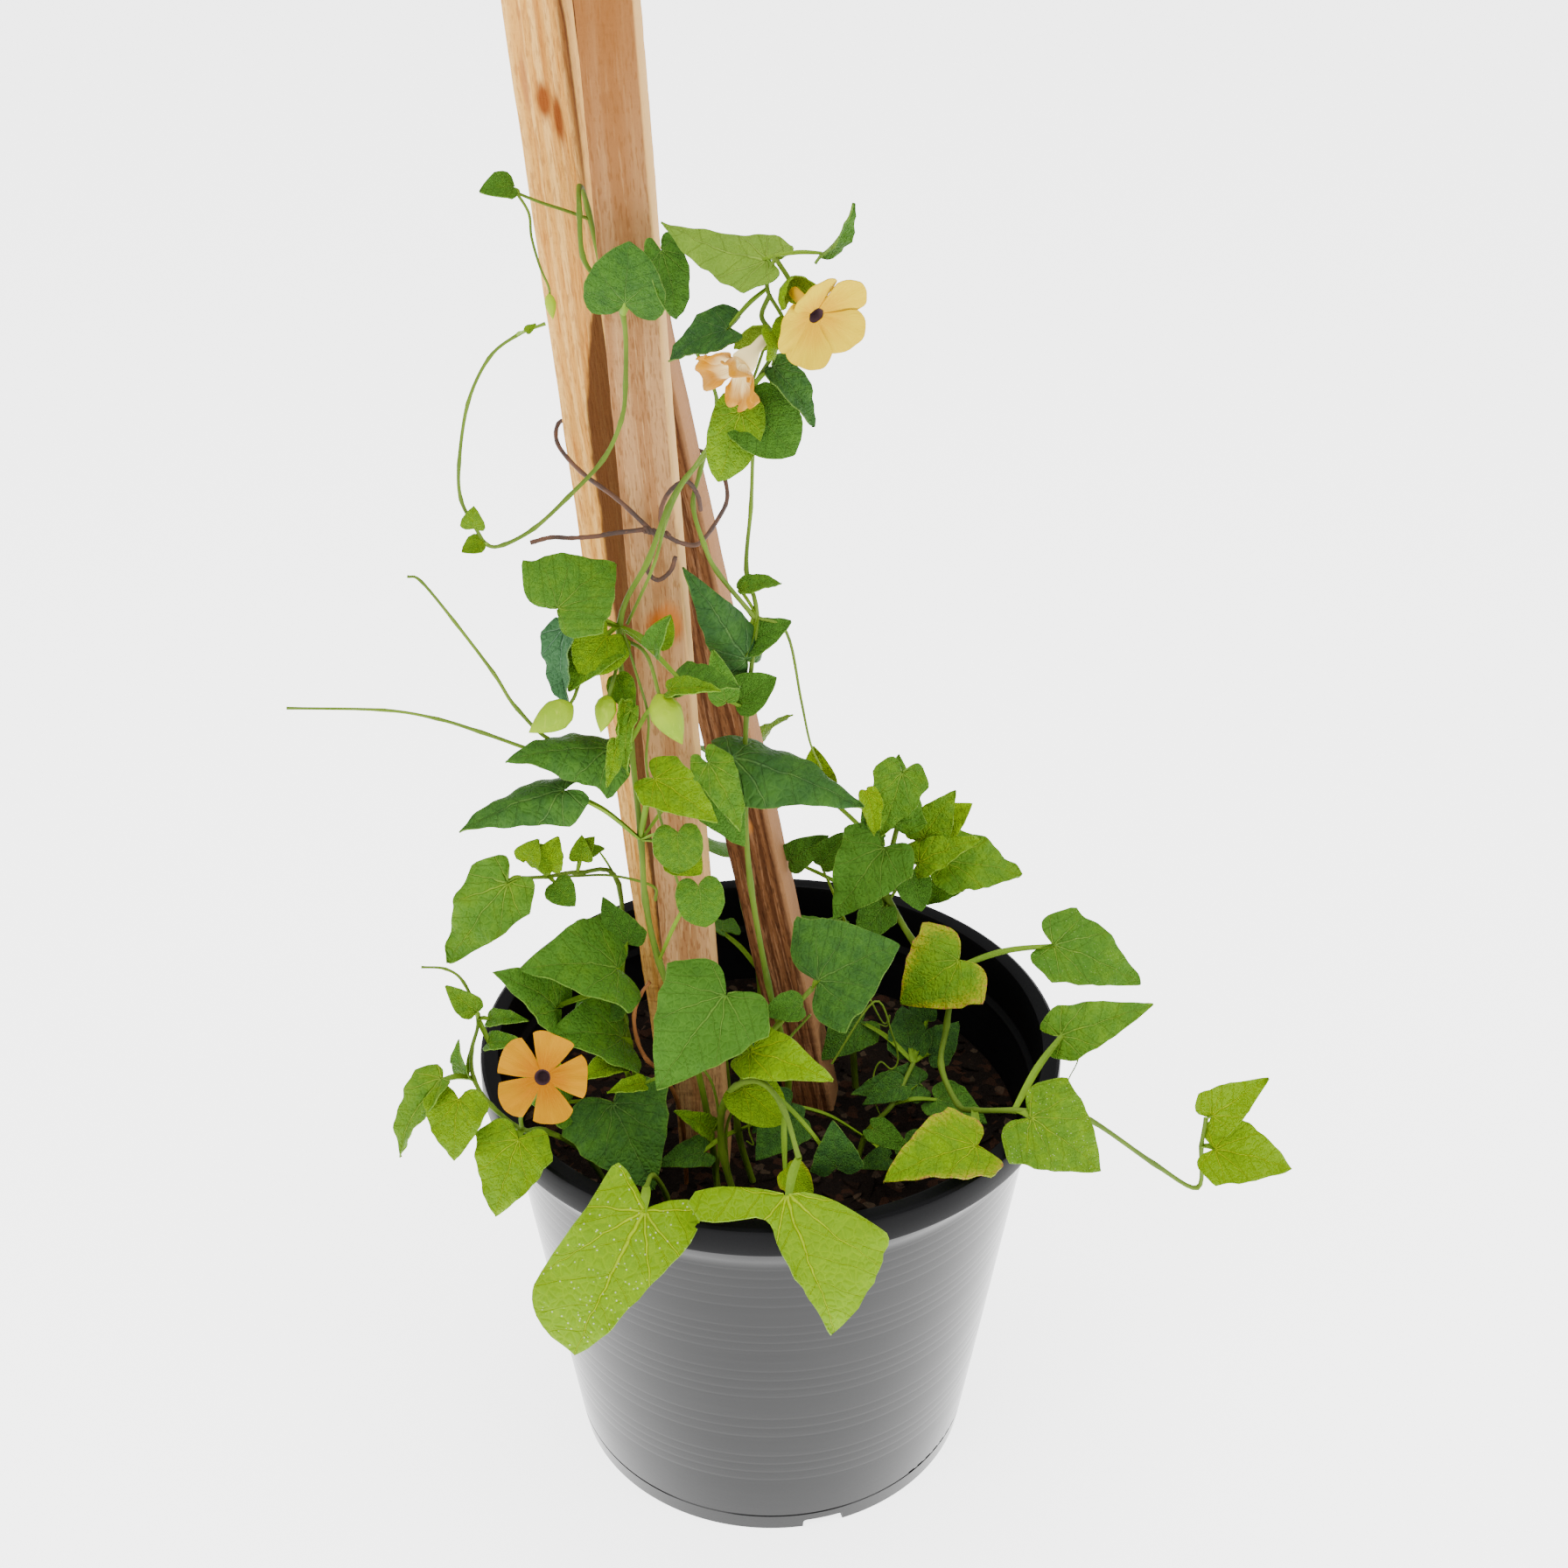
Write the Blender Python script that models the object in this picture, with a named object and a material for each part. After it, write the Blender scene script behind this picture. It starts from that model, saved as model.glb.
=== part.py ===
"""A black-eyed susan vine in a nursery pot, climbing three leaning wooden stakes tied with wire.

The frame is +Z up with its origin at the centre of the pot's flat underside, and the front of the
pot faces -Y. Every size and place below is in millimetres, and goes to metres as a mesh is made.
"""
import math

import bmesh
import bpy
from mathutils import Matrix, Vector

MM = 0.001
GAP = 0.3  # between pieces that touch

# The pot
POT_HEIGHT = 215.0
RIM_RADIUS = 130.0
LIP_HEIGHT = 14.0
WALL_TOP_RADIUS = 121.5
FOOT_RADIUS = 93.3
FOOT_WIDTH = 5.8
FOOT_HEIGHT = 4.5
FLAT_RADIUS = 70.0
WALL = 2.0
LEDGE_Z = 190.0
POT_STEPS = 40
NOTCH_WIDTH = 19.0
NOTCH_HEIGHT = 5.4
NOTCH_COUNT = 4
FIRST_NOTCH_DEGREES = -75.0

# The soil
SOIL_TOP = 165.0
SOIL_CROWN = 4.0
HOLE_ROOM = 0.9
HOLE_DEEPER = 3.0
HOLE_REACH = 15.0

# The stakes: sawn square, each from its foot in the soil to a plain sawn end
STAKE_SIDE = 21.5
STAKE_FOOT_Z = 60.0
STAKE_TOP_Z = 712.0

# The leaves: half outlines as (share of half the width, share of the length from notch to tip)
BLADE = 0.9
OUTLINES = {
    "arrow": ((0.30, -0.17), (0.70, -0.15), (1.00, 0.04), (0.84, 0.16), (0.80, 0.36), (0.56, 0.58),
              (0.28, 0.81)),
    "rolled": ((0.30, -0.17), (0.70, -0.15), (1.00, 0.04), (0.84, 0.16), (0.80, 0.36), (0.56, 0.58),
               (0.28, 0.81)),
    "round": ((0.34, -0.22), (0.80, -0.18), (1.00, 0.10), (0.98, 0.38), (0.76, 0.68), (0.40, 0.91)),
    "narrow": ((0.60, -0.08), (1.00, 0.08), (0.86, 0.30), (0.74, 0.52), (0.40, 0.80)),
    "small": ((0.62, -0.02), (1.00, 0.24), (0.80, 0.56), (0.40, 0.85)),
    "bract": ((0.70, 0.06), (1.00, 0.36), (0.62, 0.74)),
    "shield": ((0.30, -0.12), (0.80, -0.15), (0.88, 0.03), (0.72, 0.27), (0.57, 0.47), (0.38, 0.72),
               (0.18, 0.90)),
    "folded": ((0.20, 0.02), (0.50, 0.14), (0.74, 0.31), (0.93, 0.47), (0.76, 0.64), (0.46, 0.80),
               (0.20, 0.93)),
}
# The other half of the two large front leaves, which aren't alike on both sides
OTHER_HALVES = {
    "shield": ((0.30, -0.09), (0.72, -0.17), (0.80, 0.02), (0.88, 0.30), (1.00, 0.62), (0.92, 0.80),
               (0.42, 0.96)),
    "folded": ((0.40, -0.15), (1.08, -0.23), (1.04, -0.06), (0.50, 0.04), (0.28, 0.22), (0.24, 0.48),
               (0.10, 0.80)),
}
MIDRIB = {"arrow": (0.30, 0.62), "rolled": (0.30, 0.62), "round": (0.30, 0.65), "narrow": (0.40,),
          "small": (0.45,), "bract": (0.45,), "shield": (0.30, 0.62), "folded": (0.30, 0.62)}
EDGE_RISE = {"arrow": 0.22, "rolled": -0.75, "round": 0.25, "narrow": 0.45, "small": 0.30, "bract": -0.60,
             "shield": 0.12, "folded": 0.10}
ARCH = {"arrow": 0.10, "rolled": 0.08, "round": 0.07, "narrow": 0.10, "small": 0.10, "bract": 0.18,
        "shield": 0.12, "folded": 0.10}
PETIOLE_RADIUS = 0.95
PETIOLE_END = 0.35
THICK_STEM = 1.3  # a stem from this radius up has five sides, and a thinner one four

# A bloom's stalk ends this far behind its tube, between two green bracts
STALK_CLEAR = 4.0
STALK_RADIUS = 0.9
BRACT_LENGTH = 12.0
BRACT_SPREAD = 8.5

# The blooms: the place and facing of the eye, the size across the lobes and the shape of the tube
BLOOM_YELLOW = {"eye": (17, -54, 570), "facing": (0.5, -0.8, -0.28),
                "radius": 19.0, "tube": 15.0, "mouth": 3.4, "lift": 7.0}
BLOOM_WILTED = {"eye": (-9, -52, 551), "facing": (-0.6, -0.6, -0.5),
                "radius": 14.0, "tube": 13.0, "mouth": 3.4, "lift": 11.0}
BLOOM_ORANGE = {"eye": (-90, -104, 273), "facing": (0.0, -0.85, 0.5),
                "radius": 19.0, "tube": 14.0, "mouth": 3.6, "lift": 4.0}


def clear_scene():
    for obj in list(bpy.data.objects):
        bpy.data.objects.remove(obj, do_unlink=True)


def material(name, colour, roughness, metallic=0.0):
    made = bpy.data.materials.new(name)
    made.use_nodes = True
    shader = made.node_tree.nodes["Principled BSDF"]
    shader.inputs["Base Color"].default_value = (*colour, 1.0)
    shader.inputs["Roughness"].default_value = roughness
    shader.inputs["Metallic"].default_value = metallic
    made.diffuse_color = (*colour, 1.0)
    return made


def object_of(name, points, faces, finish=None):
    """One object from points in millimetres, with its faces turned outwards."""
    mesh = bpy.data.meshes.new(name)
    mesh.from_pydata([Vector(p) * MM for p in points], [], faces)
    working = bmesh.new()
    working.from_mesh(mesh)
    bmesh.ops.recalc_face_normals(working, faces=working.faces)
    working.to_mesh(mesh)
    working.free()
    if finish:
        mesh.materials.append(finish)
    made = bpy.data.objects.new(name, mesh)
    bpy.context.scene.collection.objects.link(made)
    return made


def apply_boolean(target, operation, operands):
    """Joins or cuts all the operands at once, then removes them."""
    group = bpy.data.collections.new("operands")
    bpy.context.scene.collection.children.link(group)
    for obj in operands:
        bpy.context.scene.collection.objects.unlink(obj)
        group.objects.link(obj)
    cut = target.modifiers.new("boolean", "BOOLEAN")
    cut.operation = operation
    cut.operand_type = "COLLECTION"
    cut.collection = group
    cut.solver = "EXACT"
    bpy.context.view_layer.objects.active = target
    bpy.ops.object.modifier_apply(modifier=cut.name)
    for obj in list(group.objects):
        bpy.data.objects.remove(obj, do_unlink=True)
    bpy.data.collections.remove(group)


def smooth_shade(obj, degrees=40.0):
    obj.data.shade_smooth()
    obj.data.set_sharp_from_angle(angle=math.radians(degrees))


def turned(name, profile, steps, finish=None):
    """A solid of revolution about Z from a closed profile of (radius, height)."""
    rings = []
    points = []
    for radius, height in profile:
        if radius == 0:
            points.append((0, 0, height))
            rings.append([len(points) - 1] * steps)
            continue
        rings.append(list(range(len(points), len(points) + steps)))
        for i in range(steps):
            angle = 2 * math.pi * i / steps
            points.append((radius * math.cos(angle), radius * math.sin(angle), height))
    faces = []
    for first, second in zip(rings, rings[1:] + rings[:1]):
        for i in range(steps):
            j = (i + 1) % steps
            corners = list(dict.fromkeys((first[i], first[j], second[j], second[i])))
            if len(corners) > 2:
                faces.append(corners)
    return object_of(name, points, faces, finish)


def smooth_route(points, per_span):
    """The points of a smooth curve through the route's own points."""
    route = [Vector(p) for p in points]
    ends = [route[0] * 2 - route[1]] + route + [route[-1] * 2 - route[-2]]
    curve = []
    for a, b, c, d in zip(ends, ends[1:], ends[2:], ends[3:]):
        for step in range(per_span):
            t = step / per_span
            curve.append(0.5 * (2 * b + (c - a) * t + (2 * a - 5 * b + 4 * c - d) * t * t
                                + (3 * b - a - 3 * c + d) * t ** 3))
    return curve + [route[-1]]


def tube(points, first_radius, last_radius, sides):
    """A closed tube that tapers along its points: (points, faces)."""
    count = len(points)
    ahead = [(points[min(i + 1, count - 1)] - points[max(i - 1, 0)]).normalized() for i in range(count)]
    across = ahead[0].orthogonal().normalized()
    rings = []
    for i, (centre, along) in enumerate(zip(points, ahead)):
        across = (across - along * across.dot(along)).normalized()
        other = along.cross(across)
        radius = first_radius + (last_radius - first_radius) * i / (count - 1)
        rings.append([centre + radius * (across * math.cos(2 * math.pi * k / sides)
                                         + other * math.sin(2 * math.pi * k / sides)) for k in range(sides)])
    faces = [list(range(sides)), list(range((count - 1) * sides, count * sides))]
    for i in range(count - 1):
        for k in range(sides):
            n = (k + 1) % sides
            faces.append([i * sides + k, i * sides + n, (i + 1) * sides + n])
            faces.append([i * sides + k, (i + 1) * sides + n, (i + 1) * sides + k])
    return [p for ring in rings for p in ring], faces


def blade(base, tip, face, width, style):
    """A leaf blade from its notch to its tip, as (points, faces, point inside it near the notch)."""
    base = Vector(base)
    along = Vector(tip) - base
    length = along.length
    along.normalize()
    normal = Vector(face)
    normal = (normal - along * normal.dot(along)).normalized()
    across = along.cross(normal)
    half = width * length / 2
    outlines = {-1: OUTLINES[style], 1: OTHER_HALVES.get(style, OUTLINES[style])}

    def place(u, v, wave=0.0):
        rise = EDGE_RISE[style] * half * (u * u if EDGE_RISE[style] < 0 else abs(u))
        rise += ARCH[style] * length * 4 * v * (1 - v) + wave
        return base + across * (u * half) + along * (v * length) + normal * rise

    middle = [place(0, 0)] + [place(0, v) for v in MIDRIB[style]] + [place(0, 1)]
    heights = [0, *MIDRIB[style], 1]
    points = list(middle)
    triangles = []
    edges = {}
    for side in (-1, 1):
        start = len(points)
        outline = outlines[side]
        for i, (u, v) in enumerate(outline):
            points.append(place(u * side, v, 0.03 * length * (1 if i % 2 else -1)))
        edge = [0, *range(start, len(points)), len(middle) - 1]
        edge_heights = [0, *(v for _, v in outline), 1]
        i, j = 1, 0
        while i < len(edge) - 1 or j < len(middle) - 2:
            if i < len(edge) - 1 and (j == len(middle) - 2 or edge_heights[i + 1] <= heights[j + 1]):
                corner = (edge[i], edge[i + 1], j)
                i += 1
            else:
                corner = (edge[i], j + 1, j)
                j += 1
            triangles.append(corner if side > 0 else corner[::-1])
        edges[side] = edge
    under = len(points)
    points += [p - normal * BLADE for p in points]
    faces = [list(t) for t in triangles] + [[i + under for i in t[::-1]] for t in triangles]
    for side, edge in edges.items():
        for a, b in zip(edge, edge[1:]):
            faces += [[a, b, b + under], [a, b + under, a + under]]
    inside = place(0, 0.10) - normal * (BLADE / 2)
    return points, faces, inside


def bud(base, tip, radius, sides=6):
    """A closed flower bud inside its two bracts, keeled and pointed: (points, faces)."""
    base, tip = Vector(base), Vector(tip)
    along = (tip - base).normalized()
    across = along.orthogonal().normalized()
    other = along.cross(across)
    points = [base]
    for share, size in ((0.10, 0.60), (0.38, 1.0), (0.68, 0.72), (0.88, 0.28)):
        centre = base.lerp(tip, share)
        for k in range(sides):
            angle = 2 * math.pi * k / sides
            points.append(centre + radius * size * (across * math.cos(angle) + other * 0.8 * math.sin(angle)))
    points.append(tip)
    faces = []
    for k in range(sides):
        n = (k + 1) % sides
        faces.append([0, 1 + n, 1 + k])
        for ring in range(3):
            low = 1 + ring * sides
            faces.append([low + k, low + n, low + sides + n, low + sides + k])
        faces.append([1 + 3 * sides + k, 1 + 3 * sides + n, len(points) - 1])
    return points, faces


class Plant:
    """One leafy node: its stems, petioles, leaves and buds, which join into one body."""

    def __init__(self, name, finish):
        self.name = name
        self.finish = finish
        self.parts = []
        self.route = []
        self.roots = []

    def stem(self, first_radius, last_radius, *route, rooted=False, per_span=1):
        self.route = [Vector(p) for p in route]
        sides = 5 if first_radius >= THICK_STEM else 4
        self.parts.append(tube(smooth_route(route, per_span), first_radius, last_radius, sides))
        if rooted:
            self.roots.append((self.route[0], self.route[1], first_radius))

    def leaf(self, at, base, tip, face, width, style="arrow"):
        points, faces, inside = blade(base, tip, face, width, style)
        self.parts.append((points, faces))
        root = self.route[at]
        middle = (root + Vector(base)) / 2 + Vector((0, 0, 0.06 * (root - Vector(base)).length))
        radius = min(PETIOLE_RADIUS, 0.5 + 0.015 * (Vector(tip) - Vector(base)).length)
        self.parts.append(tube([root, middle, inside], radius, PETIOLE_END, 3))

    def stalk(self, bloom, *route):
        """The stalk of a bloom, with the two bracts that stand either side of the bloom's tube."""
        eye, facing = Vector(bloom["eye"]), Vector(bloom["facing"]).normalized()
        end = eye - facing * (bloom["tube"] + STALK_CLEAR)
        self.parts.append(tube([Vector(p) for p in route] + [end], STALK_RADIUS, STALK_RADIUS, 4))
        aside = facing.cross(Vector((0, 0, 1))).normalized()
        for side in (-1, 1):
            tip = end + facing * BRACT_LENGTH + aside * side * BRACT_SPREAD
            base = end - facing * (1.2 if side > 0 else 0.4)
            points, faces, _ = blade(base, tip, aside * side, 0.8, "bract")
            self.parts.append((points, faces))

    def bud(self, base, tip, radius):
        self.parts.append(bud(base, tip, radius))

    def join(self):
        bodies = [object_of(self.name, points, faces) for points, faces in self.parts]
        whole = bodies[0]
        apply_boolean(whole, "UNION", bodies[1:])
        whole.data.materials.clear()
        whole.data.materials.append(self.finish)
        return whole


def stake(name, foot, top, turn_degrees, finish, grow=0.0):
    """A square stake along the line from foot to top; grow makes it larger all round, for its hole."""
    foot, top = Vector(foot), Vector(top)
    along = (top - foot).normalized()
    start = foot + along * ((STAKE_FOOT_Z - foot.z) / along.z) - along * grow
    end = foot + along * ((STAKE_TOP_Z - foot.z) / along.z)
    made = bpy.data.meshes.new(name)
    working = bmesh.new()
    side = STAKE_SIDE + 2 * grow
    bmesh.ops.create_cube(working, size=1.0)
    bmesh.ops.scale(working, verts=working.verts, vec=Vector((side, side, (end - start).length)) * MM)
    if not grow:
        bmesh.ops.bevel(working, geom=list(working.edges), offset=0.8 * MM, segments=1, affect="EDGES")
    turn = Vector((0, 0, 1)).rotation_difference(along).to_matrix().to_4x4()
    turn = turn @ Matrix.Rotation(math.radians(turn_degrees), 4, "Z")
    bmesh.ops.transform(working, verts=working.verts,
                        matrix=Matrix.Translation((start + end) / 2 * MM) @ turn)
    working.to_mesh(made)
    working.free()
    made.materials.append(finish)
    obj = bpy.data.objects.new(name, made)
    bpy.context.scene.collection.objects.link(obj)
    return obj


def pot(finish):
    """The blow-moulded pot: a flat centre underneath, a notched foot ring, a leaning wall and a thick lip."""
    lip_z = POT_HEIGHT - LIP_HEIGHT
    slope = (WALL_TOP_RADIUS - FOOT_RADIUS) / lip_z

    def wall_radius(height):
        return FOOT_RADIUS + slope * height

    recess = FOOT_RADIUS - FOOT_WIDTH
    profile = (
        (0, 0), (FLAT_RADIUS, 0), (FLAT_RADIUS + 3, FOOT_HEIGHT), (recess - 1.5, FOOT_HEIGHT), (recess, 0),
        (FOOT_RADIUS - 1, 0), (wall_radius(1), 1), (wall_radius(lip_z), lip_z), (RIM_RADIUS - 1, lip_z + 0.5),
        (RIM_RADIUS, lip_z + 2), (RIM_RADIUS, POT_HEIGHT - 1.5), (RIM_RADIUS - 1.5, POT_HEIGHT),
        (WALL_TOP_RADIUS + 1.5, POT_HEIGHT), (WALL_TOP_RADIUS, POT_HEIGHT - 2),
        (wall_radius(LEDGE_Z) + 0.3, LEDGE_Z + 2.5), (wall_radius(LEDGE_Z) - WALL, LEDGE_Z),
        (wall_radius(12) - WALL, 12), (wall_radius(8) - WALL - 4, FOOT_HEIGHT + WALL),
        (FLAT_RADIUS + 2, FOOT_HEIGHT + WALL), (FLAT_RADIUS - 1, WALL), (0, WALL),
    )
    made = turned("pot", profile, POT_STEPS, finish)
    cutters = []
    for i in range(NOTCH_COUNT):
        angle = math.radians(FIRST_NOTCH_DEGREES + 360 / NOTCH_COUNT * i)
        working = bmesh.new()
        bmesh.ops.create_cube(working, size=1.0)
        bmesh.ops.scale(working, verts=working.verts, vec=Vector((14, NOTCH_WIDTH, 2 * NOTCH_HEIGHT)) * MM)
        bmesh.ops.translate(working, verts=working.verts, vec=Vector((FOOT_RADIUS - 1, 0, 0)) * MM)
        bmesh.ops.rotate(working, verts=working.verts, matrix=Matrix.Rotation(angle, 3, "Z"))
        mesh = bpy.data.meshes.new("notch")
        working.to_mesh(mesh)
        working.free()
        cutter = bpy.data.objects.new("notch", mesh)
        bpy.context.scene.collection.objects.link(cutter)
        cutters.append(cutter)
    apply_boolean(made, "DIFFERENCE", cutters)
    smooth_shade(made)
    return made


def soil(finish, stakes, roots):
    """The potting soil: it fills the pot to a low mound, with a plain hole for each stake and stem."""
    slope = (WALL_TOP_RADIUS - FOOT_RADIUS) / (POT_HEIGHT - LIP_HEIGHT)
    inner = FOOT_RADIUS - WALL - GAP
    profile = (
        (0, FOOT_HEIGHT + WALL + GAP), (inner + slope * 8 - 5, FOOT_HEIGHT + WALL + GAP),
        (inner + slope * 12 - 0.5, 12.6), (inner + slope * SOIL_TOP, SOIL_TOP),
        (70, SOIL_TOP + SOIL_CROWN * 0.6), (0, SOIL_TOP + SOIL_CROWN),
    )
    made = turned("soil", profile, POT_STEPS, finish)
    cutters = [stake("hole", foot, top, turn, finish, grow=GAP) for foot, top, turn in stakes]
    for foot, above, radius in roots:
        along = (above - foot).normalized()
        over = foot + along * (SOIL_TOP + HOLE_REACH - foot.z)
        hole = tube([foot - along * HOLE_DEEPER, over], radius + HOLE_ROOM, radius + HOLE_ROOM, 6)
        cutters.append(object_of("hole", *hole))
    apply_boolean(made, "DIFFERENCE", cutters)
    return made


def facing_frame(eye, facing):
    """Turns +Z to the way a bloom faces, and moves it to the bloom's eye."""
    turn = Vector((0, 0, 1)).rotation_difference(Vector(facing).normalized()).to_matrix().to_4x4()
    return Matrix.Translation(Vector(eye)) @ turn


def corolla(name, bloom, finish):
    """A five-lobed corolla: a slim tube behind, a round mouth, and lobes whose notches run between them.

    mouth is the radius of the open throat, and lift how far the lobes' ends stand in front of it.
    """
    radius, mouth, lift, tube_length = (bloom[key] for key in ("radius", "mouth", "lift", "tube"))
    steps = 20
    rows = []
    for share, height, lobed in ((0.0, -5.0, 0), (mouth - 0.5, -5.0, 0), (mouth, 0.0, 0), (0.55, 0.45, 1),
                                 (1.0, 1.0, 1), (1.0, 1.0, 2), (0.55, 0.45, 2), (mouth + 1.2, -1.4, 0),
                                 (2.0, -tube_length, 0), (0.0, -tube_length, 0)):
        row = []
        for i in range(steps):
            angle = 2 * math.pi * i / steps
            notch = (1.0, 0.96, 0.60, 0.96)[i % 4] if share == 1.0 else (1.0, 0.98, 0.86, 0.98)[i % 4]
            reach = radius * share * notch if lobed else share
            high = lift * height if lobed else height
            if lobed:
                high += (0.8, -0.8, -1.2, -0.8)[i % 4] * share
            if lobed == 2:
                high -= BLADE
            row.append(Vector((reach * math.cos(angle), reach * math.sin(angle), high)))
        rows.append(row)
    place = facing_frame(bloom["eye"], bloom["facing"])
    points = [place @ rows[0][0]]
    for row in rows[1:-1]:
        points += [place @ p for p in row]
    points.append(place @ rows[-1][0])
    faces = []
    for i in range(steps):
        j = (i + 1) % steps
        faces.append([0, 1 + i, 1 + j])
        for row in range(len(rows) - 3):
            low = 1 + row * steps
            faces.append([low + i, low + steps + i, low + steps + j])
            faces.append([low + i, low + steps + j, low + j])
        low = 1 + (len(rows) - 3) * steps
        faces.append([low + i, len(points) - 1, low + j])
    return object_of(name, points, faces, finish)


def throat(name, bloom, finish):
    """The dark eye: a shallow cup that lines the mouth of the corolla."""
    sides = 10
    mouth = bloom["mouth"]
    place = facing_frame(bloom["eye"], bloom["facing"])
    points = []
    for radius, height in ((mouth - 0.9, -4.6), (mouth - 0.4, -0.2), (mouth - 1.2, -0.8)):
        for k in range(sides):
            angle = 2 * math.pi * k / sides
            points.append(place @ Vector((radius * math.cos(angle), radius * math.sin(angle), height)))
    points.append(place @ Vector((0, 0, -4.6)))
    points.append(place @ Vector((0, 0, -3.0)))
    faces = []
    for k in range(sides):
        n = (k + 1) % sides
        faces.append([len(points) - 2, n, k])
        for ring in range(2):
            faces.append([ring * sides + k, ring * sides + n, (ring + 1) * sides + n, (ring + 1) * sides + k])
        faces.append([2 * sides + k, 2 * sides + n, len(points) - 1])
    return object_of(name, points, faces, finish)


def climber_front(finish):
    """The main climbing stem: up the front of the stakes to the top spray, with its side shoots and buds."""
    plant = Plant("climber_front", finish)
    plant.stem(2.0, 1.1, (-22, -48, 148), (-26, -54, 205), (-33, -52, 247), (-46, -46, 288), (-51, -42, 316),
               (-52, -40, 344), (-55, -34, 386), (-58, -30, 436), (-46, -27, 463), (-38, -25, 484),
               (-31, -25, 496),
               (-12, -30, 521), (-5, -34, 536), (6, -38, 559), (0, -38, 574), (3, -38, 586), rooted=True)
    plant.leaf(7, (-80, -44, 451), (-59, -24, 460), (0.1, -0.5, 0.85), 1.45)
    plant.leaf(7, (-64, -36, 433), (-77, -50, 418), (-0.3, -0.8, 0.5), 1.0)
    plant.leaf(7, (-78, -40, 441), (-77, -46, 406), (-0.7, -0.7, 0.1), 0.5, "narrow")
    plant.leaf(7, (-34, -48, 421), (-11, -56, 423), (0, -0.4, 0.9), 0.75)
    plant.leaf(7, (-44, -34, 429), (-38, -28, 440), (0, -0.9, 0.3), 0.8, "small")
    plant.leaf(6, (-63, -42, 388), (-102, -58, 392), (-0.1, -0.45, 0.9), 0.75, "rolled")
    plant.leaf(5, (-81, -50, 374), (-122, -62, 362), (-0.1, -0.5, 0.85), 0.55, "rolled")
    plant.leaf(6, (-59, -38, 419), (-53, -44, 405), (0, -0.9, 0.2), 0.7, "small")
    plant.leaf(5, (-45, -52, 380), (-20, -60, 365), (0.1, -0.7, 0.7), 0.8)
    plant.leaf(5, (-38, -56, 350), (-27, -62, 342), (0, -0.8, 0.6), 1.2, "small")
    plant.leaf(3, (-28, -62, 336), (-26, -66, 319), (0, -0.9, 0.4), 1.1, "round")
    plant.leaf(12, (-10, -44, 530), (-18, -52, 506), (0.1, -0.95, 0.1), 0.75, "round")
    plant.leaf(11, (-6, -40, 529), (10, -48, 515), (0.3, -0.85, 0.4), 1.2, "round")
    plant.leaf(15, (0, -34, 583), (-38, -20, 592), (0, 0.55, -0.8), 0.66)
    plant.leaf(15, (19, -44, 588), (30, -50, 608), (0.75, -0.5, 0.3), 0.55, "narrow")
    plant.leaf(14, (-14, -40, 560), (-36, -32, 545), (0, -0.5, 0.85), 0.8)
    plant.leaf(13, (9, -42, 563), (2, -48, 555), (0, -0.9, 0.4), 0.9, "small")
    plant.leaf(12, (2, -38, 545), (17, -34, 520), (0.6, -0.6, 0.3), 0.5, "narrow")
    plant.stem(1.1, 0.6, (-55, -34, 384), (-83, -40, 389), (-98, -44, 407), (-106, -46, 424),
               (-119, -48, 447),
               (-130, -50, 465), (-135, -50, 467))
    plant.stem(1.1, 0.6, (-56, -34, 377), (-82, -43, 384), (-112, -50, 400), (-128, -52, 407),
               (-148, -54, 412),
               (-185, -56, 414))
    plant.stem(0.9, 0.9, (-58, -30, 431), (-71, -42, 422), (-75, -52, 416), (-78, -56, 414))
    plant.bud((-75, -55, 415), (-92, -61, 406), 7.0)
    plant.stem(0.9, 0.9, (-58, -30, 431), (-47, -44, 431), (-41, -56, 416))
    plant.bud((-42, -54, 419), (-34, -63, 398), 7.6)
    plant.stem(0.9, 0.9, (-57, -31, 428), (-60, -44, 420), (-62, -48, 414))
    plant.bud((-62, -47, 415), (-65, -54, 402), 5.0)
    plant.stalk(BLOOM_YELLOW, (3, -38, 585), (8, -38, 577))
    plant.stalk(BLOOM_WILTED, (1, -38, 572), (-2, -38, 564))
    return plant


def climber_right(finish):
    """The stem on the right: it climbs the right stake, with long rolled leaves and a thin tendril."""
    plant = Plant("climber_right", finish)
    plant.stem(1.9, 1.1, (2, -14, 148), (8, -24, 210), (-1, -27, 264), (-8, -26, 314), (-10, -22, 353),
               (-9, -16, 391),
               (-5, -6, 429), (-9, 0, 446), (-7, 2, 472), (-6, 2, 497), rooted=True)
    plant.leaf(6, (-9, -14, 413), (-33, -24, 458), (-0.2, -0.6, 0.75), 0.45, "rolled")
    plant.leaf(6, (-12, -6, 440), (5, -2, 441), (0, -0.3, 0.95), 0.6, "small")
    plant.leaf(6, (-10, -10, 416), (9, -4, 425), (0.1, -0.5, 0.85), 0.7, "small")
    plant.leaf(5, (-14, -18, 395), (3, -14, 405), (0.1, -0.7, 0.7), 0.9, "small")
    plant.leaf(5, (-17, -24, 399), (-22, -27, 424), (0, -0.8, 0.5), 0.5, "small")
    plant.leaf(4, (-15, -28, 376), (38, -38, 358), (0.1, -0.5, 0.85), 0.62, "rolled")
    plant.leaf(4, (-24, -34, 367), (-10, -42, 342), (-0.2, -0.75, 0.6), 0.85)
    plant.stem(0.9, 0.5, (-5, -6, 428), (7, -4, 420), (13, 0, 387), (17, 4, 364), (22, 8, 349))
    plant.stem(1.2, 0.8, (-6, -6, 428), (-20, -15, 452), (-25, -17, 465), (-29, -14, 480),
               (-26, -14, 494), (-19, -18, 522),
               (-24, -20, 538), (-27, -20, 546))
    return plant


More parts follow.
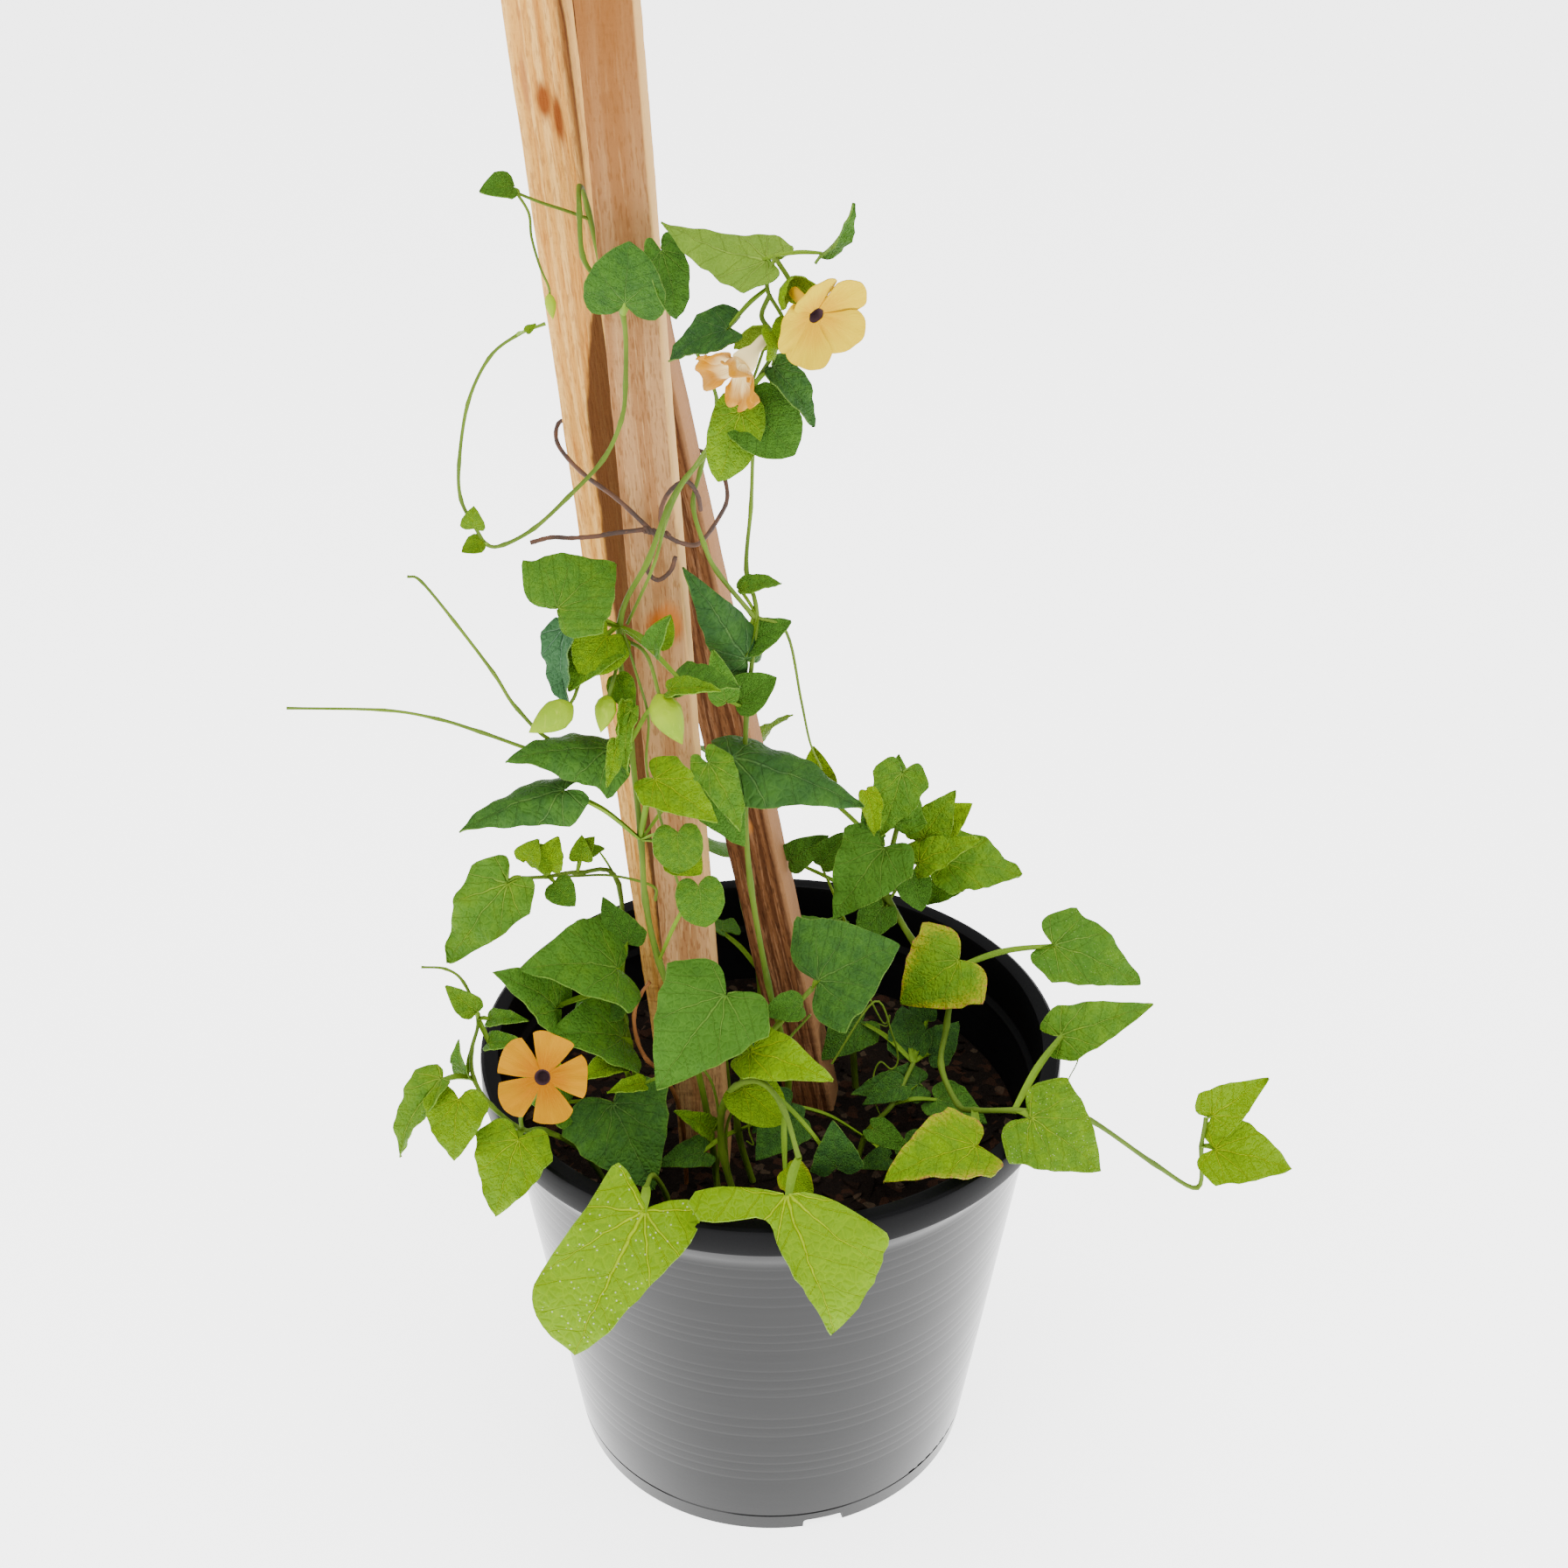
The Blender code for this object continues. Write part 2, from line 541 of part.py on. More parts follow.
def shoot_arching(finish):
    """A thin shoot that climbs between the stakes, hooks out near the top and arches out to the left."""
    plant = Plant("shoot_arching", finish)
    plant.stem(1.3, 0.7, (-18, 19, 148), (-32, 20, 320), (-46, 21, 450), (-58, 20, 530), (-67, 18, 585),
               (-69, 8, 597),
               (-68, -8, 592), (-67, -14, 578), (-61, -15, 568), (-53, -16, 556), (-53, -18, 530),
               (-55, -21, 517),
               (-62, -24, 503), (-75, -34, 492), (-87, -44, 484), (-98, -50, 480), (-104, -52, 481),
               (-108, -54, 490),
               (-112, -54, 500), (-112, -52, 513), (-108, -46, 534), (-100, -40, 549), (-90, -36, 556),
               (-80, -32, 559), rooted=True)
    plant.leaf(9, (-52, -20, 562), (-49, -26, 587), (0, -0.9, 0.3), 1.15, "round")
    plant.leaf(9, (-38, -20, 582), (-33, -22, 557), (0.5, -0.85, 0.1), 0.6, "round")
    plant.leaf(17, (-108, -56, 489), (-107, -58, 499), (0, -0.9, 0.3), 0.9, "small")
    plant.leaf(16, (-105, -54, 483), (-113, -56, 480), (0, -0.7, 0.7), 0.9, "small")
    plant.stem(0.8, 0.7, (-67, 18, 582), (-75, 15, 586), (-84, 12, 590), (-92, 10, 594))
    plant.leaf(3, (-93, 8, 597), (-105, 2, 597), (0, -0.7, 0.7), 0.9, "small")
    return plant


def spray_left(finish):
    """A short leafy stem on the left, with one drooping leaf at its end and young leaves along it."""
    plant = Plant("spray_left", finish)
    plant.stem(1.4, 0.9, (-62, -8, 148), (-65, -12, 230), (-64, -15, 306), (-80, -26, 319), (-92, -32, 321),
               (-102, -36, 323), rooted=True)
    plant.leaf(5, (-108, -38, 322), (-134, -46, 287), (-0.2, -0.85, 0.4), 0.72)
    plant.leaf(4, (-88, -34, 328), (-97, -36, 340), (0, -0.8, 0.5), 0.8, "small")
    plant.leaf(4, (-89, -36, 321), (-80, -42, 313), (0, -0.8, 0.5), 1.0, "small")
    plant.leaf(3, (-78, -28, 326), (-77, -30, 340), (0, -0.9, 0.3), 0.7, "small")
    plant.leaf(2, (-71, -18, 324), (-75, -22, 331), (0, -0.9, 0.3), 0.7, "small")
    return plant


def stem_left(finish):
    """The leafy stem inside the pot's left half, with broad arrow-shaped leaves spread over the soil."""
    plant = Plant("stem_left", finish)
    plant.stem(1.6, 1.0, (-50, -34, 148), (-57, -37, 200), (-60, -40, 240), (-64, -43, 271), rooted=True)
    plant.leaf(3, (-63, -46, 285), (-101, -64, 297), (-0.1, -0.5, 0.85), 1.1)
    plant.leaf(3, (-60, -34, 289), (-70, -28, 308), (0, -0.8, 0.5), 0.9)
    plant.leaf(3, (-88, -54, 270), (-112, -66, 297), (-0.2, -0.5, 0.85), 0.8)
    plant.leaf(2, (-62, -50, 252), (-92, -68, 266), (-0.1, -0.5, 0.85), 1.1)
    plant.leaf(3, (-66, -40, 265), (-86, -44, 252), (0, -0.6, 0.8), 0.9)
    plant.leaf(1, (-62, -62, 248), (-79, -76, 249), (-0.2, -0.6, 0.8), 0.6, "narrow")
    plant.leaf(1, (-66, -66, 229), (-49, -86, 199), (-0.1, -0.75, 0.65), 1.25)
    plant.leaf(1, (-86, -68, 231), (-108, -76, 248), (-0.1, -0.5, 0.85), 0.9)
    return plant


def stem_left_outer(finish):
    """The stem that leaves the pot over its left rim, with leaves that hang outside and a thin end shoot."""
    plant = Plant("stem_left_outer", finish)
    plant.stem(1.6, 0.6, (-62, -52, 148), (-78, -66, 200), (-94, -79, 225), (-103, -82, 228),
               (-116, -77, 237),
               (-123, -71, 246), (-124, -65, 256), (-121, -60, 269), (-126, -58, 286), (-133, -57, 292),
               (-143, -57, 293), rooted=True)
    plant.leaf(3, (-104, -88, 228), (-114, -102, 198), (-0.1, -0.8, 0.6), 1.0)
    plant.leaf(4, (-128, -84, 246), (-130, -96, 223), (-0.1, -0.75, 0.65), 1.1)
    plant.leaf(5, (-136, -76, 250), (-155, -84, 215), (-0.6, -0.5, 0.6), 0.5, "narrow")
    plant.leaf(7, (-121, -63, 275), (-132, -66, 290), (-0.3, -0.6, 0.75), 0.6, "small")
    plant.leaf(7, (-116, -62, 270), (-99, -68, 274), (0, -0.5, 0.85), 0.45, "narrow")
    plant.leaf(7, (-117, -66, 261), (-100, -72, 265), (0, -0.5, 0.85), 0.5, "narrow")
    plant.leaf(6, (-126, -68, 245), (-128, -72, 267), (-0.5, -0.8, 0.3), 0.45, "narrow")
    plant.stalk(BLOOM_ORANGE, (-103, -82, 228), (-102, -87, 240), (-96, -88, 250))
    return plant


def stem_front_left(finish):
    """The bright front leaf on the left, which hangs over the rim on its own short stem."""
    plant = Plant("stem_front_left", finish)
    plant.stem(1.5, 1.2, (-42, -62, 148), (-44, -80, 190), (-48, -98, 217), (-50, -111, 222), rooted=True)
    plant.leaf(3, (-50, -121, 219), (-79, -150, 167), (-0.1, -0.8, 0.6), 0.78, "shield")
    return plant


def stem_front(finish):
    """The front stem: it rises, bends over and carries the large leaf that hangs over the front rim."""
    plant = Plant("stem_front", finish)
    plant.stem(1.9, 1.3, (-10, -58, 148), (-20, -64, 198), (-20, -67, 227), (-14, -72, 243), (-3, -81, 252),
               (6, -93, 247), (12, -106, 233), rooted=True)
    plant.leaf(6, (7, -122, 227), (27, -154, 182), (0.05, -0.8, 0.6), 1.2, "folded")
    plant.leaf(5, (6, -100, 222), (18, -106, 214), (0.2, -0.8, 0.5), 0.9, "small")
    plant.leaf(4, (28, -92, 216), (26, -86, 236), (0, -0.7, 0.7), 1.1)
    return plant


def stem_centre(finish):
    """The stem in the middle of the pot, with the broad leaves in front of the stakes' feet."""
    plant = Plant("stem_centre", finish)
    plant.stem(1.8, 1.2, (-4, -40, 148), (-14, -51, 202), (-12, -56, 231), (-6, -58, 251), (4, -54, 262),
               (18, -48, 276), rooted=True)
    plant.leaf(3, (-18, -64, 284), (-46, -88, 254), (-0.1, -0.65, 0.75), 1.1)
    plant.leaf(5, (20, -48, 280), (54, -42, 294), (0.05, -0.6, 0.8), 1.45)
    plant.leaf(4, (14, -54, 271), (-3, -58, 270), (0, -0.6, 0.8), 0.8, "small")
    plant.leaf(3, (-8, -72, 261), (26, -86, 257), (0.05, -0.6, 0.8), 0.7)
    plant.leaf(3, (-8, -62, 272), (-4, -70, 258), (0.5, -0.8, 0.3), 0.6, "small")
    plant.leaf(1, (-28, -65, 202), (-49, -76, 203), (-0.1, -0.6, 0.8), 0.65)
    plant.leaf(1, (9, -60, 216), (-6, -72, 203), (0, -0.6, 0.8), 1.1)
    return plant


def leaves_inside(finish):
    """A low stem with small dark leaves inside the pot's right half."""
    plant = Plant("leaves_inside", finish)
    plant.stem(1.6, 1.1, (36, -34, 148), (42, -29, 180), (54, -26, 196), (64, -9, 206), rooted=True)
    plant.leaf(3, (63, -1, 208), (60, 21, 216), (-0.1, -0.5, 0.85), 0.9)
    plant.leaf(3, (72, 0, 204), (86, 16, 210), (0.2, -0.4, 0.9), 0.9)
    plant.leaf(2, (66, -14, 198), (36, -18, 196), (0, -0.5, 0.85), 0.65)
    plant.leaf(2, (74, -22, 196), (96, -34, 192), (0.2, -0.4, 0.9), 0.9)
    plant.leaf(1, (60, -40, 186), (74, -52, 184), (0, -0.4, 0.9), 0.9)
    plant.leaf(1, (52, -46, 182), (38, -50, 180), (0, -0.4, 0.9), 0.9)
    return plant


def stem_right(finish):
    """The right stem: a bush of leaves behind the stakes, then a long trailer over the right rim."""
    plant = Plant("stem_right", finish)
    plant.stem(2.0, 1.3, (41, 20, 148), (38, 28, 197), (42, 30, 229), (50, 32, 259), (53, 34, 286),
               (58, 36, 312),
               (61, 38, 329), rooted=True)
    plant.leaf(5, (55, 32, 306), (56, 38, 339), (0.1, -0.8, 0.5), 0.8)
    plant.leaf(4, (50, 24, 300), (28, 12, 270), (-0.2, -0.8, 0.5), 0.95)
    plant.leaf(4, (46, 30, 301), (41, 32, 321), (0, -0.9, 0.2), 0.5, "narrow")
    plant.leaf(5, (68, 38, 296), (82, 44, 317), (0.1, -0.7, 0.7), 0.9)
    plant.leaf(4, (79, 40, 282), (114, 44, 272), (0.1, -0.6, 0.8), 0.9)
    plant.leaf(4, (66, 32, 287), (94, 34, 298), (0.1, -0.6, 0.8), 0.6)
    plant.leaf(3, (62, 30, 282), (68, 24, 266), (0, -0.8, 0.6), 0.9, "small")
    plant.leaf(2, (22, 30, 286), (34, 36, 300), (0, -0.7, 0.7), 0.7, "small")
    plant.leaf(3, (50, 26, 266), (38, 20, 250), (0, -0.7, 0.7), 0.9)
    plant.stem(1.8, 1.1, (51, 32, 271), (65, 20, 251), (80, 10, 243), (79, 0, 221), (76, -14, 209),
               (82, -38, 206),
               (88, -52, 214), (104, -62, 222), (122, -64, 222), (137, -60, 215), (168, -52, 184),
               (189, -48, 167),
               (189, -46, 189), (190, -44, 203))
    plant.leaf(2, (127, 18, 252), (167, 14, 233), (0.1, -0.6, 0.8), 1.0)
    plant.leaf(2, (84, 9, 250), (58, 3, 230), (0, -0.7, 0.7), 1.35)
    plant.leaf(7, (125, -36, 242), (164, -34, 257), (0.1, -0.7, 0.7), 0.6)
    plant.leaf(7, (110, -68, 223), (140, -80, 204), (0.1, -0.65, 0.75), 1.2)
    plant.leaf(6, (86, -83, 220), (47, -99, 215), (0.05, -0.2, 0.98), 0.95)
    plant.leaf(13, (192, -46, 206), (215, -44, 225), (0.1, -0.6, 0.8), 0.75)
    plant.leaf(12, (194, -50, 191), (228, -54, 183), (0.1, -0.65, 0.75), 0.95)
    return plant


def sprig_back(finish):
    """A leafy stem at the back of the pot, which the stakes hide from the front."""
    plant = Plant("sprig_back", finish)
    plant.stem(1.8, 1.1, (-6, 62, 148), (-6, 70, 200), (-14, 76, 240), (-10, 80, 275), (-16, 78, 305),
               rooted=True)
    plant.leaf(1, (-24, 84, 214), (-52, 96, 206), (-0.2, 0.6, 0.8), 1.05)
    plant.leaf(1, (12, 84, 212), (38, 100, 208), (0.2, 0.6, 0.8), 1.05)
    plant.leaf(2, (-16, 96, 250), (-22, 128, 232), (0, 0.8, 0.6), 1.1)
    plant.leaf(3, (10, 88, 286), (38, 100, 276), (0.2, 0.6, 0.8), 0.95)
    plant.leaf(4, (-24, 84, 312), (-44, 96, 306), (-0.3, 0.6, 0.8), 0.9)
    plant.leaf(4, (-8, 82, 316), (10, 86, 332), (0.2, 0.5, 0.8), 0.8)
    return plant


def dead_stem(finish):
    """A dead, brown length of stem that twines beside the front stake."""
    plant = Plant("dead_stem", finish)
    plant.stem(1.2, 0.9, (-37, -45, 148), (-38, -50, 205), (-44, -51, 230), (-52, -52, 241), (-56, -51, 251),
               (-57, -50, 263), (-54, -49, 273), (-50, -48, 279), rooted=True)
    return plant


def tie_wire(finish):
    """The rusty wire round the three stakes, twisted in front, with a free tail and open end loops."""
    wire = Plant("tie_wire", finish)
    wire.stem(1.5, 1.5, (-46, -19, 472), (-39, -19, 470))
    wire.stem(0.9, 0.9, (-92, -18, 466), (-76, -18, 468), (-60, -18, 470), (-43, -18.5, 471.5))
    wire.stem(0.9, 0.9, (-42, -18, 472), (-58, -17, 484), (-73, 0, 488), (-84, 24, 490), (-85, 52, 488),
              (-76, 60, 482), (-56, 71, 474), (-31, 73, 467), (-21, 62, 464), (-17, 34, 463), (-20, 12, 463),
              (-27, -12, 463), (-34, -18, 466), (-41, -19, 470.5), per_span=2)
    wire.stem(0.9, 0.9, (-43, -19, 471), (-45, -19.5, 462), (-47, -20, 455), (-43, -20, 451), (-38, -20, 455),
              (-36, -20, 461))
    wire.stem(0.9, 0.9, (-41, -19, 471), (-41, -20, 481), (-37, -20, 489), (-31, -19, 492), (-27, -18, 486),
              (-26, -17, 479))
    return wire


def main():
    clear_scene()
    black = material("pot_black", (0.035, 0.036, 0.038), 0.38)
    earth = material("soil_dark", (0.045, 0.032, 0.024), 0.95)
    pale_wood = material("stake_pale", (0.62, 0.40, 0.24), 0.75)
    dark_wood = material("stake_dark", (0.30, 0.16, 0.09), 0.80)
    leaf_green = material("leaf_green", (0.16, 0.33, 0.05), 0.55)
    dead_brown = material("dead_brown", (0.45, 0.22, 0.10), 0.80)
    rust = material("wire_rust", (0.10, 0.05, 0.04), 0.75, 0.4)
    orange = material("petal_orange", (0.95, 0.38, 0.01), 0.55)
    yellow = material("petal_yellow", (0.95, 0.66, 0.12), 0.55)
    peach = material("petal_wilted", (0.93, 0.55, 0.22), 0.60)
    maroon = material("eye_maroon", (0.06, 0.01, 0.02), 0.60)

    stakes = (
        ("stake_left", (-44.4, 62, 165), (-83, 30, 655), -6.5, pale_wood),
        ("stake_front", (-28.6, -24, 165), (-55.7, 10, 655), -2.0, pale_wood),
        ("stake_right", (20, 14, 165), (-78, 80, 655), -7.0, dark_wood),
    )
    for name, foot, top, turn, finish in stakes:
        stake(name, foot, top, turn, finish)

    plants = [grow(leaf_green) for grow in (climber_front, climber_right, shoot_arching, spray_left,
                                            stem_left, stem_left_outer, stem_front_left, stem_front,
                                            stem_centre, leaves_inside, stem_right, sprig_back)]
    plants.append(dead_stem(dead_brown))
    roots = [root for plant in plants for root in plant.roots]
    for plant in plants:
        plant.join()
    tie_wire(rust).join()

    corolla("bloom_yellow", BLOOM_YELLOW, yellow)
    throat("bloom_yellow_eye", BLOOM_YELLOW, maroon)
    corolla("bloom_wilted", BLOOM_WILTED, peach)
    corolla("bloom_orange", BLOOM_ORANGE, orange)
    throat("bloom_orange_eye", BLOOM_ORANGE, maroon)

    pot(black)
    soil(earth, [(foot, top, turn) for _, foot, top, turn, _ in stakes], roots)


main()
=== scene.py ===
"""A black-eyed susan vine in a nursery pot, climbing three leaning wooden stakes tied with wire.

Its pieces follow in the order in which a grower puts them together. Lengths are in millimetres
until a mesh is made. +Z is up, the origin is under the pot's centre and the front faces -Y.
"""
import math

import bpy
import numpy as np
from mathutils import Matrix, Vector


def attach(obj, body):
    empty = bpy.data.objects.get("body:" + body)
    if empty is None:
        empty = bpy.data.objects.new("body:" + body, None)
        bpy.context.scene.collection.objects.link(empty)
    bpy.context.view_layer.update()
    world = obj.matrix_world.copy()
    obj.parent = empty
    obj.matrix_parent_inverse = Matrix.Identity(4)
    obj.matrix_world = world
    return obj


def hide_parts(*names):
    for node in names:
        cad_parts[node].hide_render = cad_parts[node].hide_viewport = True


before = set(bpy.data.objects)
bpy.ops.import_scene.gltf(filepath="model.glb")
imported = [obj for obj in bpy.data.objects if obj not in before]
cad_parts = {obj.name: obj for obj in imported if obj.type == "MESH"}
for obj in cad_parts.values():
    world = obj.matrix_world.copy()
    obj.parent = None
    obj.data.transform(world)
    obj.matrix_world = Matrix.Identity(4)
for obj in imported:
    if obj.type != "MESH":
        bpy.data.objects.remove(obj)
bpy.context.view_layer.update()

# The stage: a plain white floor and surroundings, lit softly from above and both sides.
# The camera looks down on the pot from about an arm's length, as a hand-held close view does.

FLOOR_SIDE = 8.0
WHITE = (1.0, 1.0, 1.0, 1.0)
LIT_PLACE = Vector((0.0, 0.0, 0.25))
CAMERA_DIP = 30.9


def select(*objects):
    """Selects these objects alone, and makes the first of them active."""
    bpy.ops.object.select_all(action="DESELECT")
    for obj in objects:
        obj.select_set(True)
    if objects:
        bpy.context.view_layer.objects.active = objects[0]


def new_material(name):
    made = bpy.data.materials.new(name)
    made.use_nodes = True
    return made, made.node_tree, made.node_tree.nodes["Principled BSDF"]


def feed(tree, node, sockets):
    """Links a node's inputs to other nodes' sockets, or sets their values."""
    for name, value in sockets.items():
        if isinstance(value, bpy.types.NodeSocket):
            tree.links.new(value, node.inputs[name])
        else:
            node.inputs[name].default_value = value


select()
bpy.ops.mesh.primitive_plane_add(size=FLOOR_SIDE)
floor = bpy.context.object
floor.name = "floor"
paper, tree, shader = new_material("white_paper")
feed(tree, shader, {"Base Color": (0.93, 0.93, 0.93, 1.0), "Roughness": 0.9, "Specular IOR Level": 0.2,
                    "Emission Color": WHITE, "Emission Strength": 3.2})
floor.data.materials.append(paper)

surroundings = bpy.data.worlds.new("white_room")
surroundings.use_nodes = True
tree = surroundings.node_tree
feed(tree, tree.nodes["Background"], {"Color": WHITE, "Strength": 1.0})
bpy.context.scene.world = surroundings

for name, place, size, power in (("softbox_left", (-0.9, -1.1, 1.5), 0.9, 16.0),
                                 ("softbox_right", (1.1, -0.7, 1.3), 0.8, 11.0),
                                 ("softbox_top", (0.0, 0.1, 1.9), 1.0, 17.0)):
    bpy.ops.object.light_add(type="AREA", location=place)
    lamp = bpy.context.object
    lamp.name = name
    lamp.data.size = size
    lamp.data.energy = power
    lamp.rotation_euler = (LIT_PLACE - Vector(place)).to_track_quat("-Z", "Y").to_euler()

bpy.ops.object.camera_add(location=(0.006, -0.8203, 0.8375))
camera = bpy.context.object
camera.name = "camera"
camera.data.sensor_width = 36.0
camera.data.lens = 52.23
camera.data.clip_start = 0.02
camera.rotation_euler = (math.radians(90.0 - CAMERA_DIP), 0.0, 0.0)
bpy.context.scene.camera = camera

# The pot: black polyethylene, blow-moulded in two halves and trimmed at the thick rolled lip.
# Fine mould rings run round the wall in five bands. A seam line with a row of drain slots stands above the
# foot ring, and four notches in the foot ring let water out. The plant was potted into it.

MM = 0.001
POT_HEIGHT = 215.0
LIP_HEIGHT = 14.0
RIM_RADIUS = 130.0
WALL_TOP_RADIUS = 121.5
FOOT_RADIUS = 93.3
FOOT_HEIGHT = 4.5
WALL = 2.0
LEDGE_Z = 190.0
SEAM_Z = 10.3
RING_DEPTH = 0.026
RING_BANDS = ((183.8, 178.3, 172.7, 166.4, 160.2), (146.9, 141.6, 136.3, 131.0), (116.6, 110.5, 104.4, 98.8),
              (83.2, 76.8, 70.4), (56.1, 50.2, 44.3, 38.3))
NOTCH_WIDTH = 19.0
SLOT_Z = 10.8
NOTCH_HEIGHT = 5.4
SLOT_DEPTH = 1.2
POT_STEPS = 180
MERGE_GAP = 0.03
WALL_FINISH_TOP = 198.5


def put(tree, kind, sockets, **choices):
    """Adds a shader node with its inputs and choices, and gives its outputs."""
    node = tree.nodes.new("ShaderNode" + kind)
    for name, choice in choices.items():
        setattr(node, name, choice)
    feed(tree, node, sockets)
    return node.outputs


def mix(tree, share, first, second, kind="MIX"):
    """Mixes two colours by a share."""
    first, second = ((*c, 1.0) if isinstance(c, tuple) and len(c) == 3 else c for c in (first, second))
    return put(tree, "Mix", {0: share, 6: first, 7: second}, data_type="RGBA", blend_type=kind)[2]


def maths(tree, kind, first, second=0.0):
    return put(tree, "Math", {0: first, 1: second}, operation=kind)[0]


def plus(tree, first, second):
    return maths(tree, "ADD", first, second)


def times(tree, first, second):
    return maths(tree, "MULTIPLY", first, second)


def rise(tree, value, low, high, to_low=0.0, to_high=1.0):
    """Goes smoothly from to_low to to_high while the value goes from low to high."""
    return put(tree, "MapRange", {"Value": value, "From Min": low, "From Max": high, "To Min": to_low,
                                  "To Max": to_high}, interpolation_type="SMOOTHSTEP")[0]


def place_of(tree, x, y=0.0, z=0.0):
    return put(tree, "CombineXYZ", {0: x, 1: y, 2: z})[0]


def stretch(tree, vector, scale):
    return put(tree, "Mapping", {"Vector": vector, "Scale": scale})[0]


def noise(tree, vector, scale, detail=3.0, roughness=0.5):
    sockets = {"Vector": vector, "Scale": scale, "Detail": detail, "Roughness": roughness}
    return put(tree, "TexNoise", sockets)[0]


def surface(tree, shader, colour, roughness, specular, height, strength):
    """Gives a shader its colour, gloss and relief, whose height is in metres."""
    relief = put(tree, "Bump", {"Height": height, "Strength": strength, "Distance": 1.0})[0]
    feed(tree, shader, {"Base Color": colour, "Roughness": roughness, "Specular IOR Level": specular,
                        "Normal": relief})


def wall_radius(height):
    return FOOT_RADIUS + (WALL_TOP_RADIUS - FOOT_RADIUS) * height / (POT_HEIGHT - LIP_HEIGHT)


def turn_profile(name, profile, steps):
    """Spins a closed outline of (radius, height) about Z, as on a lathe."""
    select()
    bpy.ops.mesh.primitive_circle_add(vertices=len(profile), fill_type="NOTHING")
    turned = bpy.context.object
    turned.name = name
    for vertex, (radius, height) in zip(turned.data.vertices, profile):
        vertex.co = (radius * MM, 0.0, height * MM)
    bpy.ops.object.mode_set(mode="EDIT")
    bpy.ops.mesh.select_all(action="SELECT")
    bpy.ops.mesh.spin(steps=steps, angle=2 * math.pi, center=(0.0, 0.0, 0.0), axis=(0.0, 0.0, 1.0))
    bpy.ops.mesh.select_all(action="SELECT")
    bpy.ops.mesh.remove_doubles(threshold=MERGE_GAP * MM)
    bpy.ops.mesh.normals_make_consistent(inside=False)
    bpy.ops.object.mode_set(mode="OBJECT")
    return turned


def smooth(obj, degrees=35.0):
    select(obj)
    bpy.ops.object.shade_smooth_by_angle(angle=math.radians(degrees))


def apply_modifiers(obj):
    select(obj)
    for modifier in list(obj.modifiers):
        bpy.ops.object.modifier_apply(modifier=modifier.name)


lip_z = POT_HEIGHT - LIP_HEIGHT
outside = [(0.0, 0.0), (70.0, 0.0), (73.0, FOOT_HEIGHT), (86.0, FOOT_HEIGHT), (87.5, 0.3), (88.0, 0.0),
           (FOOT_RADIUS - 0.8, 0.0), (FOOT_RADIUS, 0.8), (wall_radius(SEAM_Z - 0.5), SEAM_Z - 0.5),
           (wall_radius(SEAM_Z) - 0.5, SEAM_Z - 0.1), (wall_radius(SEAM_Z) - 0.5, SEAM_Z + 0.2),
           (wall_radius(SEAM_Z + 0.7), SEAM_Z + 0.7)]
for height in sorted(z for band in RING_BANDS for z in band):
    for step, depth in ((-0.7, 0.0), (-0.25, RING_DEPTH), (0.2, RING_DEPTH), (0.75, -0.012), (1.3, 0.0)):
        outside.append((wall_radius(height + step) - depth, height + step))
outside += [
    (wall_radius(189.0), 189.0), (wall_radius(190.0) + 0.45, 190.0), (wall_radius(196.0) + 0.45, 196.0),
    (wall_radius(lip_z) + 0.6, lip_z - 1.4), (wall_radius(lip_z) + 2.0, lip_z - 0.2),
    (RIM_RADIUS - 1.4, lip_z), (RIM_RADIUS - 0.3, lip_z + 0.7), (RIM_RADIUS, lip_z + 2.0),
    (RIM_RADIUS, POT_HEIGHT - 2.2),
    (RIM_RADIUS - 0.5, POT_HEIGHT - 0.8), (RIM_RADIUS - 1.8, POT_HEIGHT), (WALL_TOP_RADIUS + 2.0, POT_HEIGHT),
    (WALL_TOP_RADIUS + 0.6, POT_HEIGHT - 0.6), (WALL_TOP_RADIUS, POT_HEIGHT - 2.0),
    (WALL_TOP_RADIUS - 0.9, POT_HEIGHT - 14.0), (wall_radius(LEDGE_Z) + 0.3, LEDGE_Z + 2.5),
    (wall_radius(LEDGE_Z) - 1.0, LEDGE_Z + 1.0), (wall_radius(LEDGE_Z) - WALL, LEDGE_Z),
    (wall_radius(183.0) - WALL, 183.0), (wall_radius(182.0) - WALL - 0.5, 182.0),
    (wall_radius(12.0) - WALL, 12.0), (wall_radius(8.0) - WALL - 4.0, FOOT_HEIGHT + WALL),
    (72.0, FOOT_HEIGHT + WALL), (69.0, WALL), (0.0, WALL)]
pot = turn_profile("nursery_pot", outside, POT_STEPS)
openings = [(-75.0 + 90.0 * i, FOOT_RADIUS - 1, 0.0, (14.0, NOTCH_WIDTH, 2 * NOTCH_HEIGHT)) for i in range(4)]
openings += [(-46.0 + 3.7 * i, wall_radius(SLOT_Z), SLOT_Z, (2 * SLOT_DEPTH, 4.0, 1.8)) for i in range(7)]
for bearing, reach, height, size in openings:
    select()
    bpy.ops.mesh.primitive_cube_add(size=MM)
    notch = bpy.context.object
    notch.data.transform(Matrix.Diagonal((*size, 1.0)))
    bevel = notch.modifiers.new("round", "BEVEL")
    bevel.width = 0.15 * min(size) * MM
    bevel.segments = 3
    apply_modifiers(notch)
    turn = Matrix.Rotation(math.radians(bearing), 4, "Z")
    notch.data.transform(turn @ Matrix.Translation((reach * MM, 0, height * MM)))
    cut = pot.modifiers.new("opening", "BOOLEAN")
    cut.operation = "DIFFERENCE"
    cut.solver = "EXACT"
    cut.object = notch
    apply_modifiers(pot)
    bpy.data.objects.remove(notch, do_unlink=True)
smooth(pot, 30.0)


